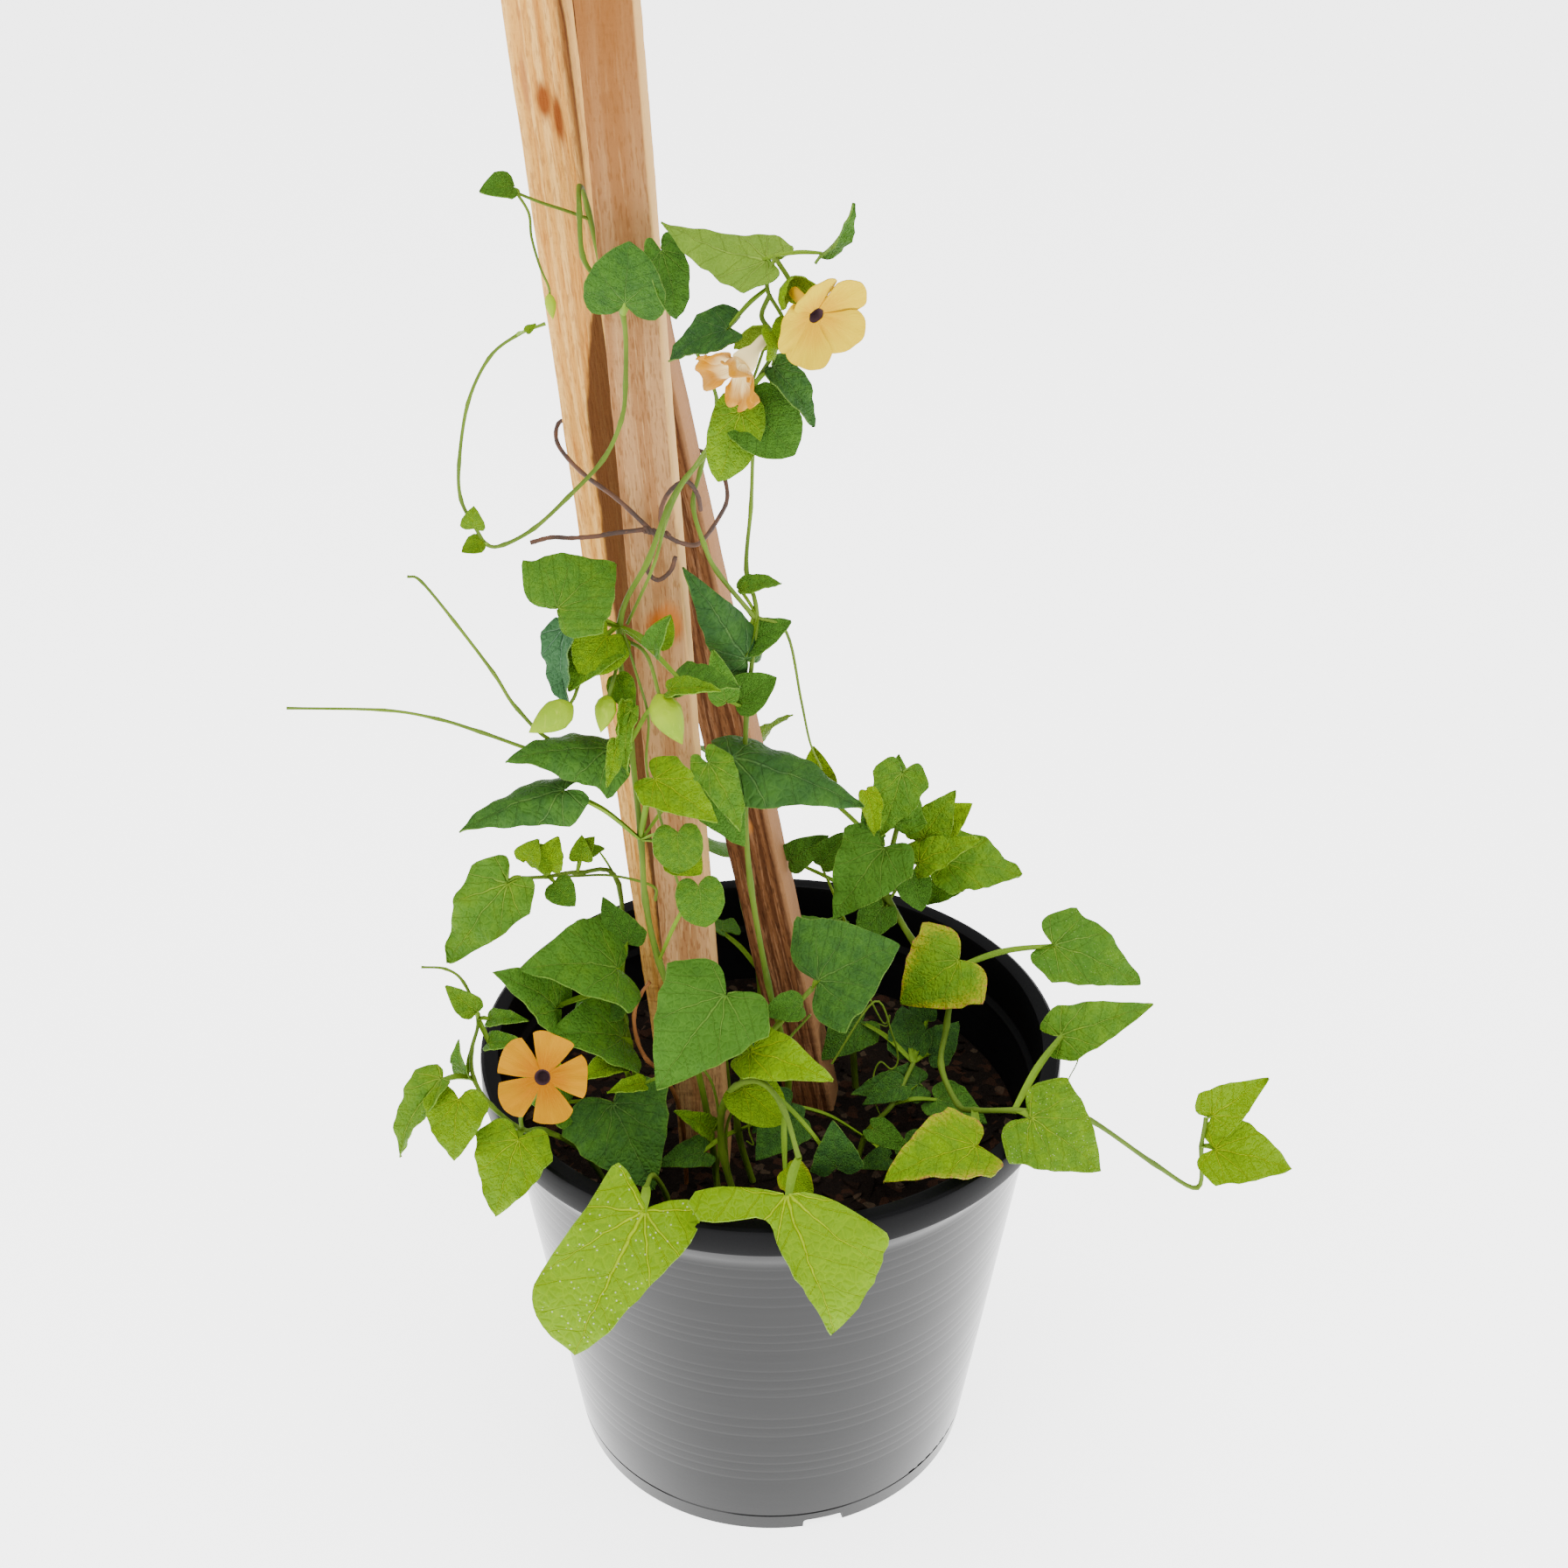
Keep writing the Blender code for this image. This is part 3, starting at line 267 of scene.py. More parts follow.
def pot_finish(name, low, high, streak, roughness, specular):
    """Blow-moulded plastic: fine turned streaks round it, a mottled bloom and tiny specks."""
    made, tree, shader = new_material(name)
    place = put(tree, "TexCoord", {})["Object"]
    parts = put(tree, "SeparateXYZ", {0: place})
    around = place_of(tree, maths(tree, "ARCTAN2", parts[1], parts[0]), parts[2])
    streaks = noise(tree, stretch(tree, around, (1.5, 420.0, 1.0)), 1.0, 4.0, 0.6)
    specks = noise(tree, place, 900.0, 2.0)
    grey = mix(tree, rise(tree, noise(tree, place, 9.0), 0.3, 0.7), low, high)
    grey = mix(tree, rise(tree, streaks, 0.45, 0.75, 0.0, 0.35), grey, streak)
    rubbed = rise(tree, streaks, 0.3, 0.8, roughness, roughness + 0.1)
    height = times(tree, plus(tree, times(tree, streaks, 0.7), specks), 0.00003)
    surface(tree, shader, grey, rubbed, specular, height, 0.5)
    return made


lip_plastic = pot_finish("clean_black_plastic", (0.003, 0.003, 0.0035), (0.004, 0.004, 0.0045),
                         (0.005, 0.005, 0.0055), 0.35, 0.05)
wall_plastic = pot_finish("dusty_black_plastic", (0.005, 0.005, 0.0052), (0.008, 0.008, 0.0082),
                          (0.014, 0.014, 0.014), 0.14, 0.22)
pot.data.materials.append(lip_plastic)
pot.data.materials.append(wall_plastic)
for face in pot.data.polygons:
    middle = face.center
    outward = middle.x * face.normal.x + middle.y * face.normal.y > 0
    in_slot = math.hypot(middle.x, middle.y) / MM < wall_radius(middle.z / MM) - 0.55
    face.material_index = 1 if outward and middle.z < WALL_FINISH_TOP * MM and not in_slot else 0
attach(pot, "root")
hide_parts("pot")

# The potting mix: damp peat and shredded bark, poured in to about 5 cm below the rim.
# It is loose and uneven on top, with reddish bark chips and a few paler bits lying on it.

SOIL_TOP = 165.0
SOIL_CROWN = 4.0
CROWN_RINGS = 56
BUMP_COUNT = 260
CHIP_COUNT = 420
CHIP_REACH = 108

inner = FOOT_RADIUS - WALL - 0.3
slope = (WALL_TOP_RADIUS - FOOT_RADIUS) / lip_z
soil_radius = inner + slope * SOIL_TOP
mound = [(0.0, 7.0), (inner - 4.0, 7.0), (inner + slope * 12 - 0.5, 12.6),
         (inner + slope * (SOIL_TOP - 1), SOIL_TOP - 1)]
mound += [(soil_radius - 1.0 - 2.0 * i, SOIL_TOP + SOIL_CROWN * (i + 1) / CROWN_RINGS)
          for i in range(CROWN_RINGS)]
mound.append((0.0, SOIL_TOP + SOIL_CROWN))
soil = turn_profile("potting_mix", mound, 120)
random = np.random.default_rng(7)
spots = random.uniform(-110, 110, (BUMP_COUNT, 2))
heights = random.uniform(-1.6, 2.6, BUMP_COUNT)
widths = random.uniform(3.0, 9.0, BUMP_COUNT)


def unevenness(x, y):
    near = np.exp(-((x - spots[:, 0]) ** 2 + (y - spots[:, 1]) ** 2) / widths ** 2)
    return float((near * heights).sum())


for vertex in soil.data.vertices:
    x, y, z = (c / MM for c in vertex.co)
    if z > SOIL_TOP - 0.5:
        edge = min(1.0, max(0.0, (soil_radius - math.hypot(x, y)) / 6.0))
        vertex.co.z += unevenness(x, y) * edge * MM


def soil_height(x, y):
    """The height of the soil's uneven top at a place."""
    return SOIL_TOP + SOIL_CROWN * (1 - math.hypot(x, y) / soil_radius) + unevenness(x, y)


def own_copy(master):
    """A copy of an object with its own mesh."""
    made = master.copy()
    made.data = master.data.copy()
    bpy.context.collection.objects.link(made)
    return made


select()
bpy.ops.mesh.primitive_cube_add(size=1.0)
chip = bpy.context.object
bpy.ops.object.mode_set(mode="EDIT")
bpy.ops.mesh.bevel(offset=0.18, segments=1)
bpy.ops.mesh.select_all(action="SELECT")
bpy.ops.transform.vertex_random(offset=0.08, seed=3)
bpy.ops.object.mode_set(mode="OBJECT")
chips = []
for i in range(CHIP_COUNT):
    reach, bearing = CHIP_REACH * math.sqrt(random.uniform(0.0, 1.0)), random.uniform(0, 2 * math.pi)
    x, y = reach * math.cos(bearing), reach * math.sin(bearing)
    long = random.uniform(2.5, 9.0) * (1.6 if i % 9 == 0 else 1.0)
    wide, thick = long * random.uniform(0.25, 0.6), random.uniform(0.8, 1.8)
    size = Matrix.Diagonal((long * MM, wide * MM, thick * MM, 1.0))
    tilt = Matrix.Rotation(random.uniform(-0.4, 0.4), 4, "X")
    tilt = tilt @ Matrix.Rotation(random.uniform(-0.3, 0.3), 4, "Y")
    turn = Matrix.Rotation(random.uniform(0, 2 * math.pi), 4, "Z")
    place = Matrix.Translation(Vector((x, y, soil_height(x, y) + 0.3)) * MM)
    chips.append(own_copy(chip))
    chips[-1].data.transform(place @ turn @ tilt @ size)
bpy.data.objects.remove(chip, do_unlink=True)


def join_all(objects, name):
    """Joins objects into the first of them."""
    select(*objects)
    if len(objects) > 1:
        bpy.ops.object.join()
    objects[0].name = name
    return objects[0]


soil = join_all([soil] + chips, "potting_mix")
smooth(soil, 50.0)
earth, tree, shader = new_material("peat_and_bark")
place = put(tree, "TexCoord", {})["Object"]
grains = put(tree, "TexVoronoi", {"Vector": place, "Scale": 260.0})
tint = put(tree, "SeparateColor", {0: grains["Color"]})
peat = mix(tree, noise(tree, place, 38.0, 4.0, 0.6), (0.003, 0.002, 0.0015), (0.012, 0.007, 0.0045))
peat = mix(tree, rise(tree, tint[0], 0.72, 0.95, 0.0, 0.7), peat, (0.040, 0.016, 0.008))
peat = mix(tree, rise(tree, tint[1], 0.90, 0.97, 0.0, 0.6), peat, (0.075, 0.050, 0.030))
rough = times(tree, plus(tree, grains["Distance"], noise(tree, place, 700.0)), 0.0012)
surface(tree, shader, peat, 0.92, 0.10, rough, 0.8)
soil.data.materials.append(earth)
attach(soil, "root")
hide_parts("soil")

# The stakes: square sawn softwood garden stakes, two pale and one dark brown, pushed into the mix.
# They lean together. Their faces are rough from the saw, one has a splintered edge, and each top is a plain
# sawn end. Painted shade darkens the back stake and two strips of the left one, and painted highlights
# brighten the right side faces of the front and back stakes.

STAKE_SIDE = 21.5
STAKE_FOOT_Z = 60.0
STAKE_TOP_Z = 712.0
STAKE_LENGTHS = 150


def new_group(name, number, outputs):
    """An empty shader group that is given a place and a number, and gives numbers."""
    group = bpy.data.node_groups.new(name, "ShaderNodeTree")
    group.interface.new_socket("Place", in_out="INPUT", socket_type="NodeSocketVector")
    group.interface.new_socket(number, in_out="INPUT", socket_type="NodeSocketFloat")
    for output in outputs:
        group.interface.new_socket(output, in_out="OUTPUT", socket_type="NodeSocketFloat")
    return group, group.nodes.new("NodeGroupInput").outputs, group.nodes.new("NodeGroupOutput")


def minus(tree, first, second):
    return maths(tree, "SUBTRACT", first, second)


def vector_maths(tree, kind, first, second=(0.0, 0.0, 0.0)):
    return put(tree, "VectorMath", {0: first, 1: second}, operation=kind)[0]


def wood_grain_group():
    """Sawn wood, from a place on the stake with Z along it, and the number of its year bands."""
    group, given, made = new_group("sawn_wood", "Bands", ("Tone", "Streaks", "Dashes", "Height"))
    place, bands = given[0], given[1]
    bent = times(group, noise(group, stretch(group, place, (12.0, 12.0, 5.0)), 1.0, 2.0), 0.008)
    wander = vector_maths(group, "ADD", place, place_of(group, bent))
    long = stretch(group, wander, (1.0, 1.0, 0.02))
    band = put(group, "TexWave", {"Vector": long, "Scale": bands, "Distortion": 5.0, "Detail": 3.0,
                                  "Detail Scale": 2.0}, wave_type="BANDS", bands_direction="X")["Fac"]
    tone = noise(group, long, 160.0, 3.0, 0.55)
    streaks = noise(group, stretch(group, wander, (1.0, 1.0, 0.05)), 900.0, 3.0, 0.6)
    dashes = noise(group, stretch(group, wander, (1.0, 1.0, 0.16)), 1100.0, 2.0)
    saw = noise(group, stretch(group, place, (0.25, 0.25, 1.0)), 520.0, 2.0)
    height = plus(group, times(group, streaks, 0.5), times(group, dashes, -0.9))
    height = plus(group, height, times(group, saw, 0.8))
    feed(group, made, {"Tone": plus(group, times(group, band, 0.45), times(group, tone, 0.55)),
                       "Streaks": streaks, "Dashes": rise(group, dashes, 0.54, 0.64),
                       "Height": times(group, height, 0.0007)})
    return group


sawn_wood = wood_grain_group()


def stain_and_light_patch(tree, place, centre, size):
    """A soft round patch at a place on the stake, in metres: a real stain, or a painted light or shade."""
    apart = vector_maths(tree, "DIVIDE", vector_maths(tree, "SUBTRACT", place, centre), size)
    return rise(tree, put(tree, "VectorMath", {0: apart}, operation="LENGTH")["Value"], 1.0, 0.35)


def read(tree, name):
    """Reads what a mesh's points hold under a name."""
    return put(tree, "Attribute", {}, attribute_name=name)["Vector"]


def stake_wood(name, pale, deep, streak, dash, bands, stains_and_painted_light, painted_shade_wedge=None):
    """The material of one stake; each patch, a real stain or a painted light or shade, is (centre, size,
    colour, share).

    Its last argument paints shade beside the front stake: it darkens the front face right of an edge, by (low
    height, high height, edge at the low one, edge at the high one, colour, share).
    """
    made, tree, shader = new_material(name)
    place = read(tree, "on_stake")
    wood = put(tree, "Group", {"Place": place, "Bands": bands}, node_tree=sawn_wood)
    colour = mix(tree, rise(tree, wood["Tone"], 0.35, 0.65), pale, deep)
    colour = mix(tree, rise(tree, wood["Streaks"], 0.52, 0.66, 0.0, 0.65), colour, streak)
    colour = mix(tree, times(tree, wood["Dashes"], 0.42), colour, dash)
    for centre, size, tint, share in stains_and_painted_light:
        colour = mix(tree, times(tree, stain_and_light_patch(tree, place, centre, size), share), colour, tint)
    # Painted shade beside the front stake: the front face goes dark right of an edge that slants as it rises.
    if painted_shade_wedge:
        low, high, low_edge, high_edge, tint, share = painted_shade_wedge
        parts = put(tree, "SeparateXYZ", {0: place})
        wavy = noise(tree, stretch(tree, place, (0.0, 0.0, 90.0)), 1.0)
        edge = plus(tree, rise(tree, parts[2], low, high, low_edge, high_edge),
                    rise(tree, wavy, 0.2, 0.8, -0.0005, 0.0005))
        dark = rise(tree, minus(tree, parts[0], edge), -0.0003, 0.0016)
        dark = times(tree, dark, rise(tree, parts[1], -0.0090, -0.0104))
        colour = mix(tree, times(tree, dark, share), colour, tint)
    surface(tree, shader, colour, 0.85, 0.05, wood["Height"], 0.9)
    return made


def mark_points(obj, name, vectors):
    """Keeps a vector at each point of a mesh under a name."""
    marks = obj.data.attributes.new(name, "FLOAT_VECTOR", "POINT")
    marks.data.foreach_set("vector", np.asarray(vectors, np.float32).ravel())


def stake(name, node, foot, top, turn, splinters, wood):
    """One stake, shaped upright and then leaned along the line from its foot to its top."""
    foot, top = Vector(foot), Vector(top)
    along = (top - foot).normalized()
    low = (STAKE_FOOT_Z - foot.z) / along.z
    high = (STAKE_TOP_Z - foot.z) / along.z
    select()
    bpy.ops.mesh.primitive_cube_add(size=1.0)
    made = bpy.context.object
    made.data.transform(Matrix.Translation((0, 0, (low + high) / 2 * MM))
                        @ Matrix.Diagonal((STAKE_SIDE * MM, STAKE_SIDE * MM, (high - low) * MM, 1.0)))
    bpy.ops.object.mode_set(mode="EDIT")
    bpy.ops.mesh.select_all(action="SELECT")
    bpy.ops.mesh.bevel(offset=0.7 * MM, segments=2)
    for i in range(1, STAKE_LENGTHS):
        bpy.ops.mesh.select_all(action="SELECT")
        cut = (low + (high - low) * i / STAKE_LENGTHS) * MM
        bpy.ops.mesh.bisect(plane_co=(0, 0, cut), plane_no=(0, 0, 1))
    bpy.ops.object.mode_set(mode="OBJECT")
    random = np.random.default_rng(1000 + int(foot.x))
    waves = random.uniform(-1, 1, (6, 3))
    half = STAKE_SIDE / 2 * MM
    for vertex in made.data.vertices:
        x, y, z = vertex.co
        share = (z / MM - low) / (high - low)
        wobble = sum(a * math.sin((9 + 17 * i) * share + 6 * b) for i, (a, b, _) in enumerate(waves)) * 0.12
        corner = min(abs(x), abs(y)) / half
        if corner > 0.80:
            nick = sum(math.sin((140 + 90 * i) * share + 9 * b + 3 * x / half) * a
                       for i, (a, b, _) in enumerate(waves))
            vertex.co.x -= math.copysign(abs(nick) * 0.10 * MM, x)
        if splinters and x > 0.7 * half and y < 0:
            torn = max(0.0, math.sin(60 * share + 2 * math.sin(33 * share))) * max(0.0, share - 0.62) * 3.0
            vertex.co.x += torn * 0.9 * MM
            vertex.co.y += torn * 0.5 * MM
        vertex.co.x += wobble * 0.5 * MM
        vertex.co.y += wobble * 0.35 * MM
    mark_points(made, "on_stake", [tuple(vertex.co) for vertex in made.data.vertices])
    lean = Vector((0, 0, 1)).rotation_difference(along).to_matrix().to_4x4()
    lean = lean @ Matrix.Rotation(math.radians(turn), 4, "Z")
    made.data.transform(Matrix.Translation(foot * MM) @ lean)
    made.name = name
    smooth(made, 40.0)
    made.data.materials.append(wood)
    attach(made, "root")
    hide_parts(node)


left_wood = stake_wood(
    "pale_sawn_wood", (0.78, 0.44, 0.12), (0.64, 0.31, 0.065), (0.44, 0.16, 0.025), (0.30, 0.11, 0.03), 60.0,
    # The first patch is painted shade along the right edge of the front face near the top.
    (((0.0118, -0.0108, 0.490), (0.0040, 0.006, 0.120), (0.15, 0.050, 0.014), 0.9),
     ((0.0020, -0.011, 0.50), (0.0016, 0.02, 0.075), (0.44, 0.17, 0.03), 0.8),
     ((0.0055, -0.011, 0.40), (0.0013, 0.02, 0.10), (0.46, 0.19, 0.04), 0.7),
     ((0.000, -0.011, 0.463), (0.0038, 0.02, 0.010), (0.24, 0.065, 0.012), 1.0),
     ((0.0045, -0.011, 0.456), (0.0026, 0.02, 0.013), (0.22, 0.06, 0.012), 1.0),
     ((-0.006, -0.011, 0.470), (0.0018, 0.02, 0.016), (0.36, 0.13, 0.04), 0.7),
     ((0.0015, -0.011, 0.30), (0.0016, 0.02, 0.14), (0.42, 0.17, 0.03), 0.7)),
    # Painted shade beside the front stake, over the right part of the front face up to a slanting edge.
    (0.325, 0.425, -0.0012, 0.0125, (0.080, 0.030, 0.011), 0.95))
front_wood = stake_wood(
    "tan_sawn_wood", (0.42, 0.225, 0.095), (0.33, 0.155, 0.058), (0.54, 0.31, 0.13), (0.12, 0.04, 0.01), 22.0,
    (((0.002, -0.011, 0.264), (0.0105, 0.02, 0.011), (0.32, 0.080, 0.006), 1.0),
     ((0.005, -0.011, 0.268), (0.006, 0.02, 0.010), (0.50, 0.16, 0.03), 0.6),
     ((-0.003, -0.011, 0.467), (0.0022, 0.02, 0.0045), (0.22, 0.10, 0.04), 0.6),
     ((0.000, -0.011, 0.62), (0.05, 0.03, 0.28), (0.215, 0.078, 0.017), 0.88),
     # A painted highlight: the lit right side face is coloured paler.
     ((0.0108, 0.0, 0.40), (0.0016, 0.03, 0.50), (0.70, 0.42, 0.15), 0.85)))
# Painted shade: the back stake's front faces are coloured dark brown for the shadow it stands in behind the
# other two.
back_wood = stake_wood(
    "dark_wood_painted_shade", (0.165, 0.068, 0.026), (0.088, 0.033, 0.013), (0.32, 0.16, 0.075), (0.02, 0.007, 0.003),
    60.0,
    (((0.000, -0.011, 0.149), (0.0035, 0.02, 0.005), (0.55, 0.20, 0.03), 0.8),
     # A painted highlight: the lit right side face is coloured paler.
     ((0.0110, -0.003, 0.15), (0.0035, 0.03, 0.5), (0.36, 0.18, 0.080), 0.85)))
stake("left_stake", "stake_left", (-44.4, 62, 165), (-83, 30, 655), -6.5, True, left_wood)
stake("front_stake", "stake_front", (-28.6, -24, 165), (-55.7, 10, 655), -2.0, False, front_wood)
stake("back_stake", "stake_right", (20, 14, 165), (-78, 80, 655), -7.0, False, back_wood)

# The tie wire: one length of rusty annealed steel wire led round the three stakes.
# Its ends are twisted together in front by hand, and stick out as a free tail and two open loops.

WIRE_RADIUS = 0.9
TWIST_RADIUS = 0.85
STRAND_RADIUS = 0.75


def smooth_route(points, per_span):
    """The points of a smooth curve through the route's own points."""
    route = [Vector(p) for p in points]
    ends = [route[0] * 2 - route[1]] + route + [route[-1] * 2 - route[-2]]
    curve = []
    for a, b, c, d in zip(ends, ends[1:], ends[2:], ends[3:]):
        for step in range(per_span):
            t = step / per_span
            curve.append(0.5 * (2 * b + (c - a) * t + (2 * a - 5 * b + 4 * c - d) * t * t
                                + (3 * b - a - 3 * c + d) * t ** 3))
    return curve + [route[-1]]


def new_curve(name, resolution, profile=None):
    """An empty curve; its points' radii are millimetres of round thickness or of the profile's size."""
    select()
    bpy.ops.curve.primitive_bezier_curve_add()
    made = bpy.context.object
    made.name = name
    made.data.splines.clear()
    made.data.dimensions = "3D"
    made.data.use_fill_caps = True
    made.data.bevel_resolution = resolution
    if profile:
        made.data.bevel_mode = "OBJECT"
        made.data.bevel_object = profile
        made.data.twist_mode = "Z_UP"
    else:
        made.data.bevel_depth = MM
    return made


def add_line(curve, points, radii):
    """Adds a line of points, in millimetres, to a curve."""
    spline = curve.data.splines.new("POLY")
    spline.points.add(len(points) - 1)
    for made, place, radius in zip(spline.points, points, radii):
        made.co = (*(Vector(place) * MM), 1.0)
        made.radius = radius


def to_mesh(obj):
    select(obj)
    bpy.ops.object.convert(target="MESH")
    return bpy.context.object


wire = new_curve("rusty_wire", 3)
wire_routes = (
    ((-92, -18, 466), (-84, -17.5, 468), (-76, -18, 468), (-66, -18.5, 469), (-60, -18, 470),
     (-46, -18.5, 472)),
    ((-46, -18, 472), (-58, -17, 484), (-73, 0, 488), (-84, 24, 490), (-85, 52, 488), (-76, 60, 482),
     (-56, 71, 474), (-31, 73, 467), (-21, 62, 464), (-17, 34, 463), (-20, 12, 463), (-27, -12, 463),
     (-34, -18, 466), (-40, -19, 470)),
    ((-43, -19, 471), (-45, -19.5, 462), (-47, -20, 455), (-43, -20, 451), (-38, -20, 455), (-36, -20, 461)),
    ((-41, -19, 471), (-41, -20, 481), (-37, -20, 489), (-31, -19, 492), (-27, -18, 486), (-26, -17, 479)),
)
for route in wire_routes:
    points = smooth_route(route, 5)
    add_line(wire, points, [WIRE_RADIUS * (1 + 0.08 * math.sin(2.7 * i)) for i in range(len(points))])
for side in (0.0, math.pi):
    strand = [(-48 + 10 * i / 24, -19 + TWIST_RADIUS * math.cos(side + i * 0.8),
               472 - i / 10 + TWIST_RADIUS * math.sin(side + i * 0.8)) for i in range(25)]
    add_line(wire, strand, [STRAND_RADIUS] * len(strand))
wire = to_mesh(wire)
smooth(wire, 60.0)
rust, tree, shader = new_material("rusty_steel")
place = put(tree, "TexCoord", {})["Object"]
grit = noise(tree, place, 600.0, 4.0, 0.6)
patches = rise(tree, noise(tree, place, 90.0), 0.35, 0.65)
colour = mix(tree, patches, (0.055, 0.032, 0.024), (0.12, 0.055, 0.030))
colour = mix(tree, rise(tree, grit, 0.55, 0.75, 0.0, 0.6), colour, (0.20, 0.085, 0.035))
surface(tree, shader, colour, 0.75, 0.5, times(tree, grit, 0.0003), 0.7)
feed(tree, shader, {"Metallic": 0.35})
wire.data.materials.append(rust)
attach(wire, "root")
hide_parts("tie_wire")

# The main climbing stem: it twines up the front of the stakes, and carries side shoots, buds and the stalks
# of two blooms. Leaves are soft, hairy and arrow-shaped, with waved edges, blunt teeth and winged stalks.

LEAF_THICKNESS = 0.5
LARGE_LEAF = 30.0
SMALL_LEAF = 14.0
STEM_STEPS = 6
STALK_STEPS = 7
LOBE_SHARE = 0.35
OUTLINES = {
    "arrow": ((0.03, -0.02), (0.14, -0.09), (0.3, -0.165), (0.46, -0.185), (0.6, -0.165), (0.74, -0.1),
        (0.86, -0.03), (0.97, 0.03), (1.0, 0.07), (0.93, 0.13), (0.86, 0.19), (0.83, 0.26), (0.82, 0.33),
        (0.75, 0.4), (0.68, 0.46), (0.645, 0.52), (0.56, 0.58), (0.47, 0.65), (0.385, 0.72), (0.31, 0.79),
        (0.22, 0.86), (0.13, 0.925), (0.05, 0.98), (0.008, 1.0)),
    "round": ((0.03, -0.03), (0.18, -0.14), (0.34, -0.22), (0.58, -0.23), (0.8, -0.17), (0.94, -0.04),
        (1.0, 0.1), (0.99, 0.24), (1.0, 0.36), (0.93, 0.47), (0.84, 0.58), (0.78, 0.68), (0.62, 0.78),
        (0.46, 0.87), (0.24, 0.96), (0.03, 1.0)),
    "narrow": ((0.04, -0.01), (0.3, -0.07), (0.6, -0.08), (0.84, -0.02), (1.0, 0.08), (0.92, 0.17),
        (0.88, 0.26), (0.89, 0.33), (0.8, 0.42), (0.74, 0.52), (0.68, 0.58), (0.54, 0.68), (0.42, 0.78),
        (0.26, 0.87), (0.1, 0.96), (0.01, 1.0)),
    "small": ((0.05, 0.0), (0.34, -0.03), (0.64, -0.01), (0.88, 0.1), (1.0, 0.24), (0.94, 0.36),
        (0.92, 0.45), (0.8, 0.56), (0.64, 0.68), (0.44, 0.82), (0.2, 0.94), (0.02, 1.0)),
    "bract": ((0.1, 0.0), (0.4, 0.01), (0.7, 0.06), (0.92, 0.2), (1.0, 0.36), (0.88, 0.54), (0.62, 0.74),
        (0.32, 0.9), (0.03, 1.0)),
    "shield": ((0.04, -0.02), (0.25, -0.1), (0.5, -0.16), (0.72, -0.16), (0.86, -0.09), (0.88, 0.03),
        (0.84, 0.12), (0.76, 0.2), (0.72, 0.27), (0.66, 0.33), (0.6, 0.4), (0.57, 0.47), (0.48, 0.55),
        (0.42, 0.64), (0.38, 0.72), (0.27, 0.82), (0.15, 0.92), (0.01, 1.0)),
    "folded": ((0.04, 0.0), (0.2, 0.02), (0.36, 0.07), (0.5, 0.14), (0.62, 0.22), (0.74, 0.31), (0.86, 0.4),
        (0.93, 0.47), (0.9, 0.53), (0.8, 0.58), (0.76, 0.64), (0.66, 0.69), (0.6, 0.75), (0.46, 0.8),
        (0.36, 0.87), (0.2, 0.93), (0.08, 0.98), (0.005, 1.0)),
}
OUTLINES["rolled"] = OUTLINES["arrow"]
OTHER_HALVES = {
    "shield": ((0.04, -0.02), (0.3, -0.09), (0.55, -0.15), (0.72, -0.17), (0.8, -0.12), (0.8, 0.0),
        (0.82, 0.14), (0.88, 0.3), (0.95, 0.46), (1.0, 0.6), (1.0, 0.7), (0.92, 0.8), (0.72, 0.885),
        (0.42, 0.96), (0.1, 1.0), (0.01, 1.001)),
    "folded": ((0.04, -0.02), (0.3, -0.12), (0.62, -0.2), (0.92, -0.24), (1.08, -0.22), (1.1, -0.14),
        (1.02, -0.05), (0.84, 0.0), (0.62, 0.03), (0.42, 0.05), (0.32, 0.09), (0.27, 0.16), (0.29, 0.26),
        (0.27, 0.36), (0.24, 0.44), (0.235, 0.52), (0.18, 0.6), (0.17, 0.68), (0.12, 0.77), (0.08, 0.87),
        (0.04, 0.95), (0.005, 1.0)),
}
EDGE_RISE_AND_ARCH = {"arrow": (0.22, 0.1), "rolled": (-0.75, 0.08), "round": (0.25, 0.07),
                      "narrow": (0.45, 0.1), "small": (0.3, 0.1), "bract": (-0.6, 0.18),
                      "shield": (0.12, 0.12), "folded": (0.1, 0.1)}

masters = {}


def leaf_master(style, columns, rows):
    """A flat leaf of unit size: x across in halves of its width, y from notch to tip, z how near the edge."""
    key = (style, columns)
    if key not in masters:
        select()
        bpy.ops.mesh.primitive_grid_add(x_subdivisions=columns, y_subdivisions=rows, size=2.0)
        master = bpy.context.object
        halves = {}
        for side, outline in ((-1, OUTLINES[style]), (1, OTHER_HALVES.get(style, OUTLINES[style]))):
            outline = np.array(outline)
            waist = max(i for i, (_, v) in enumerate(outline) if v < 0.08)
            reach = np.concatenate(([0.0], np.cumsum(np.hypot(*np.diff(outline, axis=0).T))))
            marks = LOBE_SHARE * reach / reach[waist]
            above = (outline[waist:, 1] - outline[waist, 1]) / (outline[-1, 1] - outline[waist, 1])
            marks[waist:] = LOBE_SHARE + (1 - LOBE_SHARE) * above
            halves[side] = (marks, outline)
        for vertex in master.data.vertices:
            c, s = vertex.co.x, (vertex.co.y + 1) / 2
            marks, outline = halves[1 if c > 0 else -1]
            u = np.interp(s, marks, outline[:, 0])
            v = np.interp(s, marks, outline[:, 1])
            middle = 0.2 * s if s < LOBE_SHARE else 0.07 + 0.93 * (s - LOBE_SHARE) / (1 - LOBE_SHARE)
            near = abs(c) ** 0.85
            vertex.co = (math.copysign(near * u, c), middle + (v - middle) * near, abs(c))
        master.name = "leaf_master_" + style
        masters[key] = master
    return masters[key]


